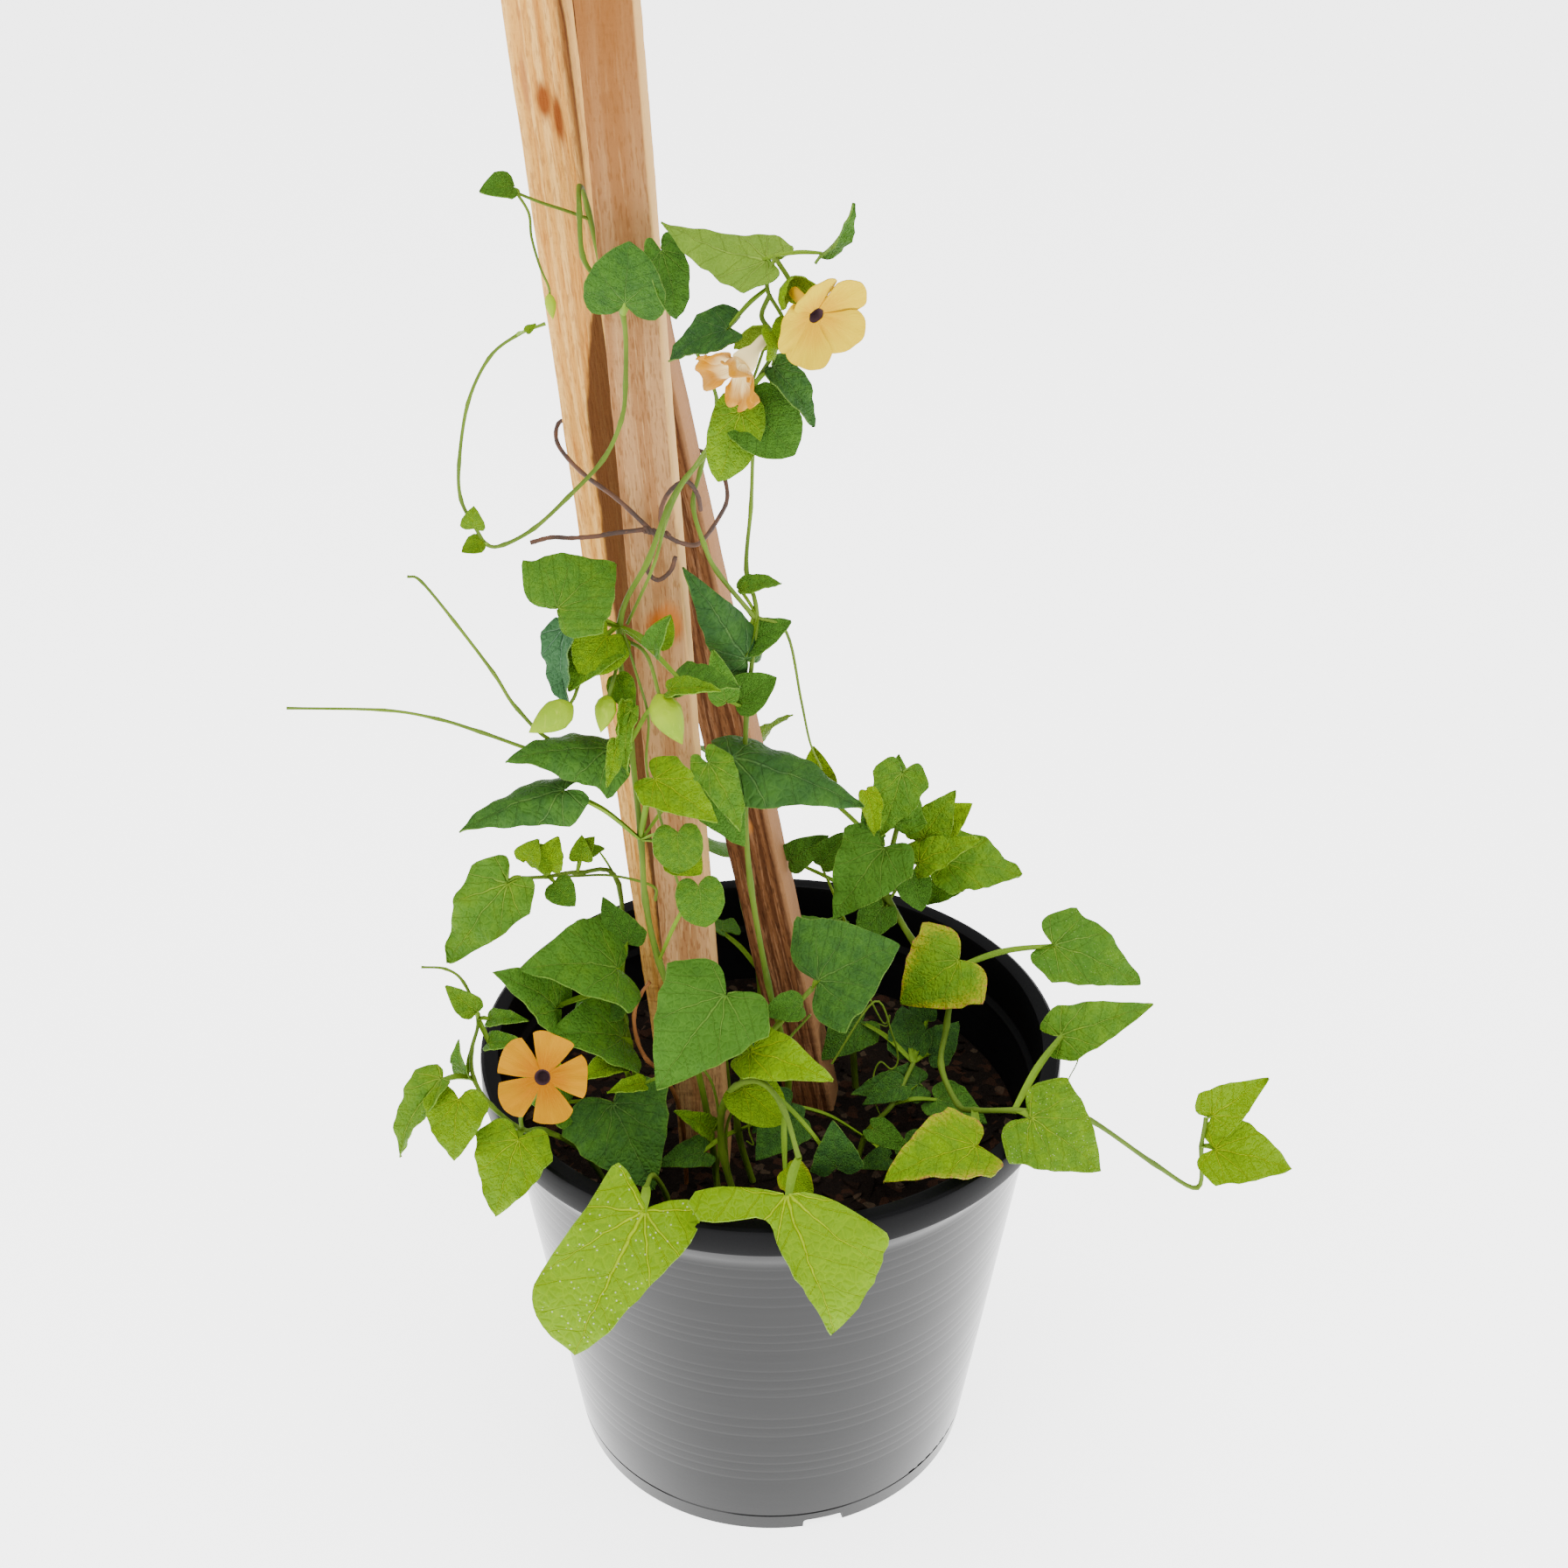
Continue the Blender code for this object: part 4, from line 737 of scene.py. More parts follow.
def winged_profile():
    """The cross-section of a leaf stalk: two thin wings with a groove between them, 2 units wide."""
    profile = new_curve("winged_profile", 0)
    profile.data.bevel_depth = 0.0
    shape = ((-1.0, 0.42), (-0.55, 0.16), (-0.2, -0.02), (0.0, -0.06), (0.2, -0.02), (0.55, 0.16),
             (1.0, 0.42), (0.78, 0.02), (0.42, -0.38), (0.0, -0.55), (-0.42, -0.38), (-0.78, 0.02))
    add_line(profile, [(x, y, 0.0) for x, y in shape], [1.0] * len(shape))
    profile.data.splines[0].use_cyclic_u = True
    return profile


wing = winged_profile()


def vein_group():
    """A leaf's veins, from its place in the leaf's plane in shares of its length."""
    group, given, made = new_group("palmate_veins", "Seed", ("Main", "Side", "Net", "Height"))
    plane, seed = given[0], given[1]
    shifted = vector_maths(group, "ADD", plane, place_of(group, seed, seed))
    bent = put(group, "TexNoise", {"Vector": shifted, "Scale": 5.0, "Detail": 2.0})["Color"]
    bent = vector_maths(group, "SUBTRACT", bent, (0.5, 0.5, 0.5))
    place = vector_maths(group, "ADD", plane, vector_maths(group, "MULTIPLY", bent, (0.07, 0.07, 0.07)))
    axes = put(group, "SeparateXYZ", {0: place})
    x, y = maths(group, "ABSOLUTE", axes[0]), axes[1]
    main = 0.0
    for degrees, width, reach in ((0, 0.012, 1.0), (33, 0.010, 0.7), (66, 0.009, 0.6), (118, 0.008, 0.5)):
        cosine, sine = math.cos(math.radians(degrees)), math.sin(math.radians(degrees))
        off = minus(group, times(group, x, cosine), times(group, y, sine))
        far = plus(group, times(group, x, sine), times(group, y, cosine))
        thin = rise(group, far, 0.0, reach, width, width * 0.25)
        line = rise(group, maths(group, "DIVIDE", maths(group, "ABSOLUTE", off), thin), 1.4, 0.3)
        main = maths(group, "MAXIMUM", main, times(group, line, rise(group, far, 0.0, 0.02)))
    contour = minus(group, y, times(group, x, 0.75))
    side = rise(group, maths(group, "PINGPONG", times(group, contour, 5.0), 0.5), 0.045, 0.0)
    cells = put(group, "TexVoronoi", {"Vector": place, "Scale": 17.0}, feature="DISTANCE_TO_EDGE")["Distance"]
    sunk = plus(group, main, times(group, side, 0.45))
    height = minus(group, times(group, rise(group, cells, 0.0, 0.35), 0.45), sunk)
    feed(group, made, {"Main": main, "Side": side, "Net": rise(group, cells, 0.07, 0.01), "Height": height})
    return group


palmate_veins = vein_group()


def leaf_surface(name, dark, middle, light, vein, vein_share, puff):
    """One side of the leaves: tone, age and specks are each leaf's own, and the veins are paler by vein."""
    made, tree, shader = new_material(name)
    plane = put(tree, "TexCoord", {})["UV"]
    kind = put(tree, "SeparateXYZ", {0: read(tree, "kind")})
    own = put(tree, "SeparateXYZ", {0: read(tree, "own")})
    veins = put(tree, "Group", {"Place": plane, "Seed": own[1]}, node_tree=palmate_veins)
    shifted = vector_maths(tree, "ADD", plane, place_of(tree, own[1], own[1], own[1]))
    blotch = noise(tree, shifted, 28.0, 3.0, 0.6)
    tone = plus(tree, kind[0], rise(tree, noise(tree, shifted, 6.0, 3.0, 0.6), 0.25, 0.75, -0.08, 0.08))
    green = mix(tree, rise(tree, tone, 0.0, 0.5), dark, middle)
    green = mix(tree, rise(tree, tone, 0.5, 1.0), green, light)
    green = mix(tree, rise(tree, blotch, 0.4, 0.8, 0.0, 0.12), green, middle)
    green = mix(tree, own[2], green, (0.045, 0.13, 0.055))
    line = maths(tree, "MAXIMUM", veins["Main"], times(tree, veins["Side"], 0.30))
    line = maths(tree, "MAXIMUM", line, times(tree, veins["Net"], 0.16))
    paler = mix(tree, 1.0, green, vein, kind="MULTIPLY")
    green = mix(tree, times(tree, line, vein_share), green, paler)
    ragged = plus(tree, own[0], rise(tree, blotch, 0.3, 0.7, -0.16, 0.16))
    aged = rise(tree, kind[1], 0.02, 0.25)
    yellowed = rise(tree, plus(tree, ragged, kind[1]), 0.95, 1.75)
    green = mix(tree, times(tree, yellowed, aged), green, (0.36, 0.33, 0.01))
    browned = rise(tree, plus(tree, ragged, times(tree, kind[1], 0.42)), 1.16, 1.32)
    green = mix(tree, times(tree, browned, aged), green, (0.30, 0.12, 0.045))
    rim = times(tree, rise(tree, own[0], 0.975, 0.998), 0.28)
    green = mix(tree, times(tree, rim, minus(tree, 1.0, kind[1])), green, (0.22, 0.34, 0.05))
    dots = put(tree, "TexVoronoi", {"Vector": shifted, "Scale": 34.0})
    chosen = rise(tree, put(tree, "SeparateColor", {0: dots["Color"]})[0], 0.55, 0.6)
    dot = times(tree, times(tree, rise(tree, dots["Distance"], 0.24, 0.10), chosen), kind[2])
    green = mix(tree, dot, green, (0.42, 0.52, 0.24))
    hairs = times(tree, noise(tree, shifted, 160.0, 2.0), 0.0002)
    surface(tree, shader, green, 0.55, 0.05, plus(tree, times(tree, veins["Height"], puff), hairs), 0.8)
    return made


leaf_top = leaf_surface("leaf_upper_side", (0.018, 0.058, 0.016), (0.055, 0.150, 0.014), (0.140, 0.260, 0.0),
                        (2.3, 1.7, 2.4), 0.85, 0.0014)
leaf_under = leaf_surface("leaf_underside", (0.075, 0.16, 0.02), (0.12, 0.22, 0.02), (0.19, 0.31, 0.02),
                          (1.5, 1.35, 1.8), 0.9, -0.0011)


def stem_surface(name, pale, deep, tinge):
    made, tree, shader = new_material(name)
    place = put(tree, "TexCoord", {})["Object"]
    lines = noise(tree, stretch(tree, place, (1.0, 1.0, 0.15)), 800.0, 3.0, 0.6)
    colour = mix(tree, rise(tree, noise(tree, place, 40.0), 0.3, 0.7), pale, deep)
    colour = mix(tree, rise(tree, lines, 0.5, 0.8, 0.0, 0.5), colour, tinge)
    surface(tree, shader, colour, 0.6, 0.12, times(tree, lines, 0.0003), 0.6)
    return made


stem_green = stem_surface("green_stem", (0.115, 0.19, 0.016), (0.070, 0.125, 0.012), (0.16, 0.20, 0.035))
petiole_green = stem_surface("leaf_stalk", (0.15, 0.26, 0.012), (0.10, 0.19, 0.010), (0.21, 0.32, 0.04))
bud_green = stem_surface("bud_bracts", (0.26, 0.38, 0.0), (0.17, 0.29, 0.0), (0.38, 0.48, 0.03))


def bud_master():
    """A flower bud of unit length along +Z and unit radius: two keeled bracts that meet in a pointed seam."""
    select()
    bpy.ops.mesh.primitive_uv_sphere_add(segments=28, ring_count=22, radius=1.0)
    made = bpy.context.object
    shares = (0.0, 0.06, 0.16, 0.38, 0.60, 0.78, 0.92, 1.0)
    sizes = (0.06, 0.42, 0.78, 1.0, 0.80, 0.50, 0.20, 0.015)
    for vertex in made.data.vertices:
        x, y, z = vertex.co
        angle = math.atan2(y, x)
        cosine, share = abs(math.cos(angle)), (z + 1) / 2
        keel = 1.0 + 0.16 * max(0.0, cosine - 0.86) / 0.14 - 0.14 * max(0.0, 1 - cosine / 0.12)
        size = np.interp(share, shares, sizes) * keel * (1.0 + 0.022 * math.sin(10 * angle))
        vertex.co = (math.cos(angle) * size, 0.8 * math.sin(angle) * size, share)
    made.name = "bud_master"
    masters["bud"] = made
    return made


bud_shape = bud_master()


def thicken(obj, thickness, back_material):
    """Gives a sheet its thickness behind, where it takes the material that is so many slots on."""
    solid = obj.modifiers.new("thickness", "SOLIDIFY")
    solid.thickness = thickness * MM
    solid.offset = -1.0
    solid.material_offset = back_material
    apply_modifiers(obj)


class Plant:
    """One leafy piece of the vine, gathered stem by stem and leaf by leaf."""

    def __init__(self, name, node, seed):
        self.name = name
        self.node = node
        self.random = np.random.default_rng(seed)
        self.stems = new_curve(name + "_stems", 4)
        self.stalks = new_curve(name + "_leaf_stalks", 0, wing)
        self.leaves = []
        self.others = []
        self.route = []

    def stem(self, first_radius, last_radius, *route, swellings=True):
        """A stem through its points, a little thicker where leaves join it."""
        self.route = [Vector(p) for p in route]
        points = smooth_route(route, STEM_STEPS)
        radii = []
        for i in range(len(points)):
            share = i / (len(points) - 1)
            radius = 0.82 * (first_radius + (last_radius - first_radius) * share)
            near_joint = max(0.0, 1 - abs(((i / STEM_STEPS) + 0.5) % 1 - 0.5) * 3.2)
            radii.append(radius * (1 + (0.28 * near_joint ** 2 if swellings else 0.0)))
        add_line(self.stems, points, radii)

    def shoot(self, first_radius, last_radius, *route):
        """A thin side stem, with no swellings."""
        self.stem(first_radius, last_radius, *route, swellings=False)

    def leaf(self, at, base, tip, face, width, tone, style="arrow", age=0.0, specks=0.0, blue=0.0, wave=1.0,
             hook=0.0, stalk=1.0):
        """A leaf from its notch to its tip, turned to face one way, on a stalk from the last stem's point."""
        base = Vector(base)
        along = Vector(tip) - base
        length = along.length
        along.normalize()
        normal = Vector(face)
        normal = (normal - along * normal.dot(along)).normalized()
        across = along.cross(normal)
        half = width * length / 2
        detail = (22, 34) if length > LARGE_LEAF else (12, 18) if length > SMALL_LEAF else (8, 12)
        made = own_copy(leaf_master(style, *detail))
        flat = np.empty(len(made.data.vertices) * 3, np.float32)
        made.data.vertices.foreach_get("co", flat)
        u, v, edge = flat.reshape(-1, 3).T.astype(float)
        seed, phase = self.random.uniform(0, 40), self.random.uniform(0, 6.28, 4)
        edge_rise, arch = EDGE_RISE_AND_ARCH[style]
        up = edge_rise * half * (u * u if edge_rise < 0 else np.sqrt(u * u + 0.012) - 0.11)
        up += arch * length * 4 * v * (1 - v)
        side = np.sign(u)
        turn = v * 12.5 + side * phase[0] + phase[1]
        up += 0.024 * wave * length * edge ** 2.5 * (np.sin(turn) + 0.5 * np.sin(2.3 * turn + phase[2]))
        up += 0.008 * wave * length * np.sin(9 * u + phase[3]) * np.sin(11 * v + phase[0]) * (1 - edge ** 4)
        up -= 0.010 * length * np.exp(-(u / 0.06) ** 2)
        hooked = hook * np.clip((v - 0.72) / 0.28, 0, 1) ** 2
        up -= hooked * length
        u = u + hooked * 0.35 * (1 if phase[0] > 3 else -1)
        turned = np.stack((u * half, v * length, up), axis=1) @ np.array((across, along, normal))
        places = np.array(base) + turned
        made.data.vertices.foreach_set("co", (places * MM).astype(np.float32).ravel())
        corners = np.empty(len(made.data.loops), np.int32)
        made.data.loops.foreach_get("vertex_index", corners)
        plane = np.stack((u * width / 2, v), axis=1)[corners]
        made.data.uv_layers[0].data.foreach_set("uv", plane.astype(np.float32).ravel())
        count = len(u)
        mark_points(made, "kind", np.tile((tone, age, specks), count))
        mark_points(made, "own", np.stack((edge, np.full(count, seed), np.full(count, blue)), axis=1))
        self.leaves.append(made)
        root = self.route[at]
        neck = base + along * 0.03 * length - normal * 0.3
        middle = (root + base) / 2 + Vector((0, 0, 0.06 * (root - base).length))
        size = min(1.75, 0.75 + 0.020 * length) * stalk
        points = smooth_route((root, middle, neck), STALK_STEPS)
        shares = [i / (len(points) - 1) for i in range(len(points))]
        widths = [size * (0.62 + 0.5 * math.sin(math.pi * (0.12 + 0.82 * share))) for share in shares]
        add_line(self.stalks, points, widths)

    def stalk(self, bloom, *route):
        """The stalk of a bloom, with the two bracts that stand either side of the bloom's tube."""
        eye, facing = Vector(bloom["eye"]), Vector(bloom["facing"]).normalized()
        end = eye - facing * (bloom["tube"] + 4.0)
        points = smooth_route([*route, end], STEM_STEPS)
        add_line(self.stems, points, [0.9] * len(points))
        self.route = [end - facing * 1.5]
        aside = facing.cross(Vector((0, 0, 1))).normalized()
        for side in (-1, 1):
            tip = end + facing * 12.0 + aside * side * 8.5
            self.leaf(0, end - facing * 0.8, tip, aside * side, 0.8, 1.0, "bract", stalk=0.3)

    def bud(self, base, tip, radius):
        made = own_copy(bud_shape)
        along = Vector(tip) - Vector(base)
        turn = Vector((0, 0, 1)).rotation_difference(along).to_matrix().to_4x4()
        size = Matrix.Diagonal((radius * MM, radius * MM, along.length * MM, 1.0))
        made.data.transform(Matrix.Translation(Vector(base) * MM) @ turn @ size)
        made.data.materials.append(bud_green)
        self.others.append(made)

    def finish(self, material=None):
        """Joins the whole piece, which stands for its CAD node."""
        stems, parts = to_mesh(self.stems), list(self.others)
        stems.data.materials.append(material or stem_green)
        parts.append(stems)
        if self.leaves:
            stalks = to_mesh(self.stalks)
            stalks.data.materials.append(petiole_green)
            parts.append(stalks)
            blades = join_all(self.leaves, self.name)
            blades.data.materials.append(leaf_top)
            blades.data.materials.append(leaf_under)
            thicken(blades, LEAF_THICKNESS, 1)
            parts = [blades] + parts
        else:
            bpy.data.objects.remove(self.stalks, do_unlink=True)
        whole = join_all(parts, self.name)
        smooth(whole, 55.0)
        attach(whole, "root")
        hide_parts(self.node)


plant = Plant("main_climber", "climber_front", 1)
plant.stem(1.8, 0.8, (-22, -48, 148), (-26, -54, 205), (-33, -52, 247), (-46, -46, 288), (-51, -42, 316),
           (-52, -40, 344), (-55, -34, 386), (-58, -30, 436), (-46, -27, 463), (-38, -25, 484),
           (-31, -25, 496), (-12, -30, 521), (-5, -34, 536), (6, -38, 559), (0, -38, 574), (3, -38, 586))
plant.leaf(7, (-80, -44, 451), (-59, -24, 460), (0.1, -0.5, 0.85), 1.45, 0.6)
plant.leaf(7, (-64, -36, 433), (-77, -50, 418), (-0.3, -0.8, 0.5), 1.0, 0.7)
plant.leaf(7, (-78, -40, 441), (-77, -46, 406), (-0.7, -0.7, 0.1), 0.5, 0.3, "narrow", blue=0.8)
plant.leaf(7, (-34, -48, 421), (-11, -56, 423), (0, -0.4, 0.9), 0.75, 0.4)
plant.leaf(7, (-44, -34, 429), (-38, -28, 440), (0, -0.9, 0.3), 0.8, 0.8, "small")
plant.leaf(6, (-63, -42, 388), (-102, -58, 392), (-0.1, -0.45, 0.9), 0.75, 0.3, "rolled")
plant.leaf(5, (-81, -50, 374), (-122, -62, 362), (-0.1, -0.5, 0.85), 0.55, 0.25, "rolled")
plant.leaf(6, (-59, -38, 419), (-53, -44, 405), (0, -0.9, 0.2), 0.7, 0.7, "small")
plant.leaf(5, (-45, -52, 380), (-20, -60, 365), (0.1, -0.7, 0.7), 0.8, 0.85)
plant.leaf(5, (-38, -56, 350), (-27, -62, 342), (0, -0.8, 0.6), 1.2, 0.9, "small")
plant.leaf(3, (-28, -62, 336), (-26, -66, 319), (0, -0.9, 0.4), 1.1, 0.6, "round")
plant.leaf(12, (-10, -44, 530), (-18, -52, 506), (0.1, -0.95, 0.1), 0.75, 0.8, "round")
plant.leaf(11, (-6, -40, 529), (10, -48, 515), (0.3, -0.85, 0.4), 1.2, 0.4, "round")
plant.leaf(15, (0, -34, 583), (-38, -20, 592), (0, 0.55, -0.8), 0.66, 0.6)
plant.leaf(15, (19, -44, 588), (30, -50, 608), (0.75, -0.5, 0.3), 0.55, 0.4, "narrow")
plant.leaf(14, (-14, -40, 560), (-36, -32, 545), (0, -0.5, 0.85), 0.8, 0.15)
plant.leaf(13, (9, -42, 563), (2, -48, 555), (0, -0.9, 0.4), 0.9, 0.9, "small")
plant.leaf(12, (2, -38, 545), (17, -34, 520), (0.6, -0.6, 0.3), 0.5, 0.2, "narrow")
plant.leaf(7, (-44, -48, 435), (-37, -54, 452), (-0.5, -0.8, 0.3), 0.55, 0.5, "narrow")
plant.leaf(6, (-38, -56, 422), (-18, -62, 425), (0, -0.5, 0.85), 0.45, 0.75, "narrow")
plant.leaf(6, (-56, -48, 412), (-60, -55, 392), (0.6, -0.75, 0.2), 0.35, 0.75, "narrow", wave=1.8)
plant.leaf(6, (-53, -50, 410), (-55, -58, 385), (-0.5, -0.8, 0.2), 0.32, 0.7, "narrow", wave=1.8)
plant.leaf(6, (-59, -54, 398), (-63, -60, 381), (0.2, -0.9, 0.2), 0.4, 0.8, "narrow", wave=1.6)
plant.leaf(7, (-62, -38, 436), (-73, -48, 425), (0, -0.9, 0.3), 1.2, 0.85, "round")
plant.leaf(5, (-24, -46, 384), (-11, -53, 356), (0.5, -0.8, 0.3), 0.6, 0.65, wave=1.5)
plant.leaf(5, (-36, -62, 361), (-35, -66, 345), (0, -0.9, 0.4), 1.2, 0.65, "round", wave=1.8)
plant.stem(1.1, 0.6, (-55, -34, 384), (-83, -40, 389), (-98, -44, 407), (-106, -46, 424), (-119, -48, 447),
           (-130, -50, 465), (-135, -50, 467))
plant.stem(1.1, 0.6, (-56, -34, 377), (-82, -43, 384), (-112, -50, 400), (-128, -52, 407), (-148, -54, 412),
           (-185, -56, 414))
plant.shoot(0.9, 0.9, (-58, -30, 431), (-71, -42, 422), (-75, -52, 416), (-78, -56, 414))
plant.bud((-75, -55, 415), (-92, -61, 406), 7.0)
plant.shoot(0.9, 0.9, (-58, -30, 431), (-47, -44, 431), (-41, -56, 416))
plant.bud((-43, -54, 419), (-33, -63, 402), 8.0)
plant.shoot(0.9, 0.9, (-57, -31, 428), (-60, -44, 420), (-62, -48, 414))
plant.bud((-62, -47, 415), (-65, -54, 402), 4.8)

YELLOW = {"eye": (17, -54, 570), "facing": (0.5, -0.8, -0.28), "radius": 19.0, "tube": 15.0, "mouth": 3.4,
          "lift": 7.0}
WILTED = {"eye": (-9, -52, 551), "facing": (-0.6, -0.6, -0.5), "radius": 14.0, "tube": 13.0, "mouth": 3.4,
          "lift": 11.0}
plant.shoot(0.75, 0.6, (-32, -44, 306), (-38, -50, 334), (-43, -46, 356), (-48, -50, 383), (-47, -44, 403),
            (-51, -46, 424), (-56, -36, 437))
plant.shoot(0.8, 0.65, (-55, -28, 436), (-44, -34, 463), (-39, -30, 479), (-33, -34, 495), (-21, -36, 515),
            (-8, -42, 535), (0, -40, 556))
plant.stalk(YELLOW, (3, -38, 585), (8, -38, 577))
plant.stalk(WILTED, (1, -38, 572), (-2, -38, 564))
plant.finish()

# The second climbing stem: a green stem from the soil, which climbs in front of the back stake.
# Its long leaves roll under at their edges, a thin shoot goes up past the wire, and a bare tendril hangs
# to the right.

plant = Plant("second_climber", "climber_right", 2)
plant.stem(1.7, 0.85, (2, -14, 148), (8, -24, 210), (-1, -27, 264), (-8, -26, 314), (-10, -22, 353),
           (-9, -16, 391), (-5, -6, 429), (-9, 0, 446), (-7, 2, 472), (-6, 2, 497))
plant.leaf(6, (-9, -14, 413), (-33, -24, 458), (-0.2, -0.6, 0.75), 0.45, 0.15, "rolled")
plant.leaf(6, (-12, -6, 440), (5, -2, 441), (0, -0.3, 0.95), 0.6, 0.6, "small")
plant.leaf(6, (-10, -10, 416), (9, -4, 425), (0.1, -0.5, 0.85), 0.7, 0.4, "small")
plant.leaf(5, (-14, -18, 395), (3, -14, 405), (0.1, -0.7, 0.7), 0.9, 0.5, "small")
plant.leaf(5, (-17, -24, 399), (-22, -27, 424), (0, -0.8, 0.5), 0.5, 0.55, "small")
plant.leaf(4, (-15, -28, 376), (38, -38, 358), (0.1, -0.5, 0.85), 0.62, 0.2, "rolled")
plant.leaf(4, (-24, -34, 367), (-10, -42, 342), (-0.2, -0.75, 0.6), 0.85, 0.45)
plant.shoot(0.9, 0.5, (-5, -6, 428), (7, -4, 420), (13, 0, 387), (17, 4, 364), (22, 8, 349))
plant.stem(1.2, 0.8, (-6, -6, 428), (-20, -15, 452), (-25, -17, 465), (-29, -14, 480), (-26, -14, 494),
           (-19, -18, 522), (-24, -20, 538), (-27, -20, 546))
plant.finish()

# The arching shoot: a thin green shoot from the soil, which climbs up behind the front stake.
# High up it hooks over to the front and arches out to the left, with a few small leaves.

plant = Plant("arching_shoot", "shoot_arching", 3)
plant.stem(1.3, 0.7, (-18, 19, 148), (-32, 20, 320), (-46, 21, 450), (-58, 20, 530), (-67, 18, 585),
           (-69, 8, 597), (-68, -8, 592), (-67, -14, 578), (-61, -15, 568), (-53, -16, 556),
           (-53, -18, 530), (-55, -21, 517), (-62, -24, 503), (-75, -34, 492), (-87, -44, 484),
           (-98, -50, 480), (-104, -52, 481), (-108, -54, 490), (-112, -54, 500), (-112, -52, 513),
           (-108, -46, 534), (-100, -40, 549), (-90, -36, 556), (-80, -32, 559))
plant.leaf(9, (-52, -20, 562), (-49, -26, 587), (0, -0.9, 0.3), 1.15, 0.28, "round")
plant.leaf(9, (-38, -20, 582), (-33, -22, 557), (0.5, -0.85, 0.1), 0.6, 0.38, "round")
plant.leaf(17, (-108, -56, 489), (-107, -58, 499), (0, -0.9, 0.3), 0.9, 0.8, "small")
plant.leaf(22, (-86, -43, 560), (-82, -44, 563), (0, -0.9, 0.3), 0.6, 0.85, "small")
plant.leaf(16, (-105, -54, 483), (-113, -56, 480), (0, -0.7, 0.7), 0.9, 0.8, "small")
plant.shoot(0.8, 0.7, (-67, 18, 582), (-75, 15, 586), (-84, 12, 590), (-92, 10, 594))
plant.leaf(3, (-93, 8, 597), (-105, 2, 597), (0, -0.7, 0.7), 0.9, 0.55, "small")
plant.bud((-81, -5, 561), (-80, -5, 551), 1.9)
plant.shoot(0.7, 0.5, (-93, 8, 596), (-88, 6, 588), (-87, 2, 580), (-84, -2, 570), (-81, -4, 563),
            (-81, -4, 558))
plant.finish()

# The left spray: a soft green stem that grows from the soil, up in front of the left stake.
# It bends out to the left, with one drooping leaf at its end and small young leaves along it.

plant = Plant("left_spray", "spray_left", 4)
plant.stem(1.4, 0.9, (-62, -8, 148), (-65, -12, 230), (-64, -15, 306), (-80, -26, 319), (-92, -32, 321),
           (-102, -36, 323))
plant.leaf(5, (-108, -38, 322), (-134, -46, 287), (-0.2, -0.85, 0.4), 0.72, 0.65, wave=1.8)
plant.leaf(4, (-88, -34, 328), (-97, -36, 340), (0, -0.8, 0.5), 0.8, 0.8, "small")
plant.leaf(4, (-89, -36, 321), (-80, -42, 313), (0, -0.8, 0.5), 1.0, 0.6, "small")
plant.leaf(3, (-78, -28, 326), (-77, -30, 340), (0, -0.9, 0.3), 0.7, 0.8, "small")
plant.leaf(2, (-71, -18, 324), (-75, -22, 331), (0, -0.9, 0.3), 0.7, 0.7, "small")
plant.leaf(4, (-92, -34, 327), (-86, -36, 343), (0, -0.8, 0.5), 0.8, 0.9, "small")
plant.leaf(4, (-100, -36, 331), (-94, -38, 343), (0, -0.8, 0.5), 0.9, 0.85, "small", wave=1.6)
plant.leaf(3, (-78, -27, 330), (-72, -28, 338), (0, -0.8, 0.5), 0.8, 0.85, "small")
plant.shoot(0.8, 0.6, (-48, -26, 305), (-49, -24, 311), (-66, -22, 315), (-82, -24, 316), (-90, -30, 320))
plant.finish()

# The left stem: a short green stem that grows in the soil of the pot's left half.
# Its broad arrow-shaped leaves spread over the soil on thin winged stalks.

plant = Plant("left_stem", "stem_left", 5)
plant.stem(1.6, 1.0, (-50, -34, 148), (-57, -37, 200), (-60, -40, 240), (-64, -43, 271))
plant.leaf(3, (-63, -46, 285), (-101, -64, 297), (-0.1, -0.5, 0.85), 1.1, 0.55)
plant.leaf(3, (-60, -34, 289), (-70, -28, 308), (0, -0.8, 0.5), 0.9, 0.4)
plant.leaf(3, (-88, -54, 270), (-112, -66, 297), (-0.2, -0.5, 0.85), 0.8, 0.55)
plant.leaf(2, (-62, -50, 252), (-92, -68, 266), (-0.1, -0.5, 0.85), 1.1, 0.55)
plant.leaf(3, (-66, -40, 265), (-86, -44, 252), (0, -0.6, 0.8), 0.9, 0.35)
plant.leaf(1, (-62, -62, 248), (-79, -76, 249), (-0.2, -0.6, 0.8), 0.6, 0.95, "narrow")
plant.leaf(1, (-66, -66, 229), (-49, -86, 199), (-0.1, -0.75, 0.65), 1.25, 0.25)
plant.leaf(1, (-86, -68, 231), (-108, -76, 248), (-0.1, -0.5, 0.85), 0.9, 0.5)
plant.finish()

# The outer left stem: it leaves the pot over the left rim, with hanging leaves, a thin end shoot
# and the stalk of the orange bloom.

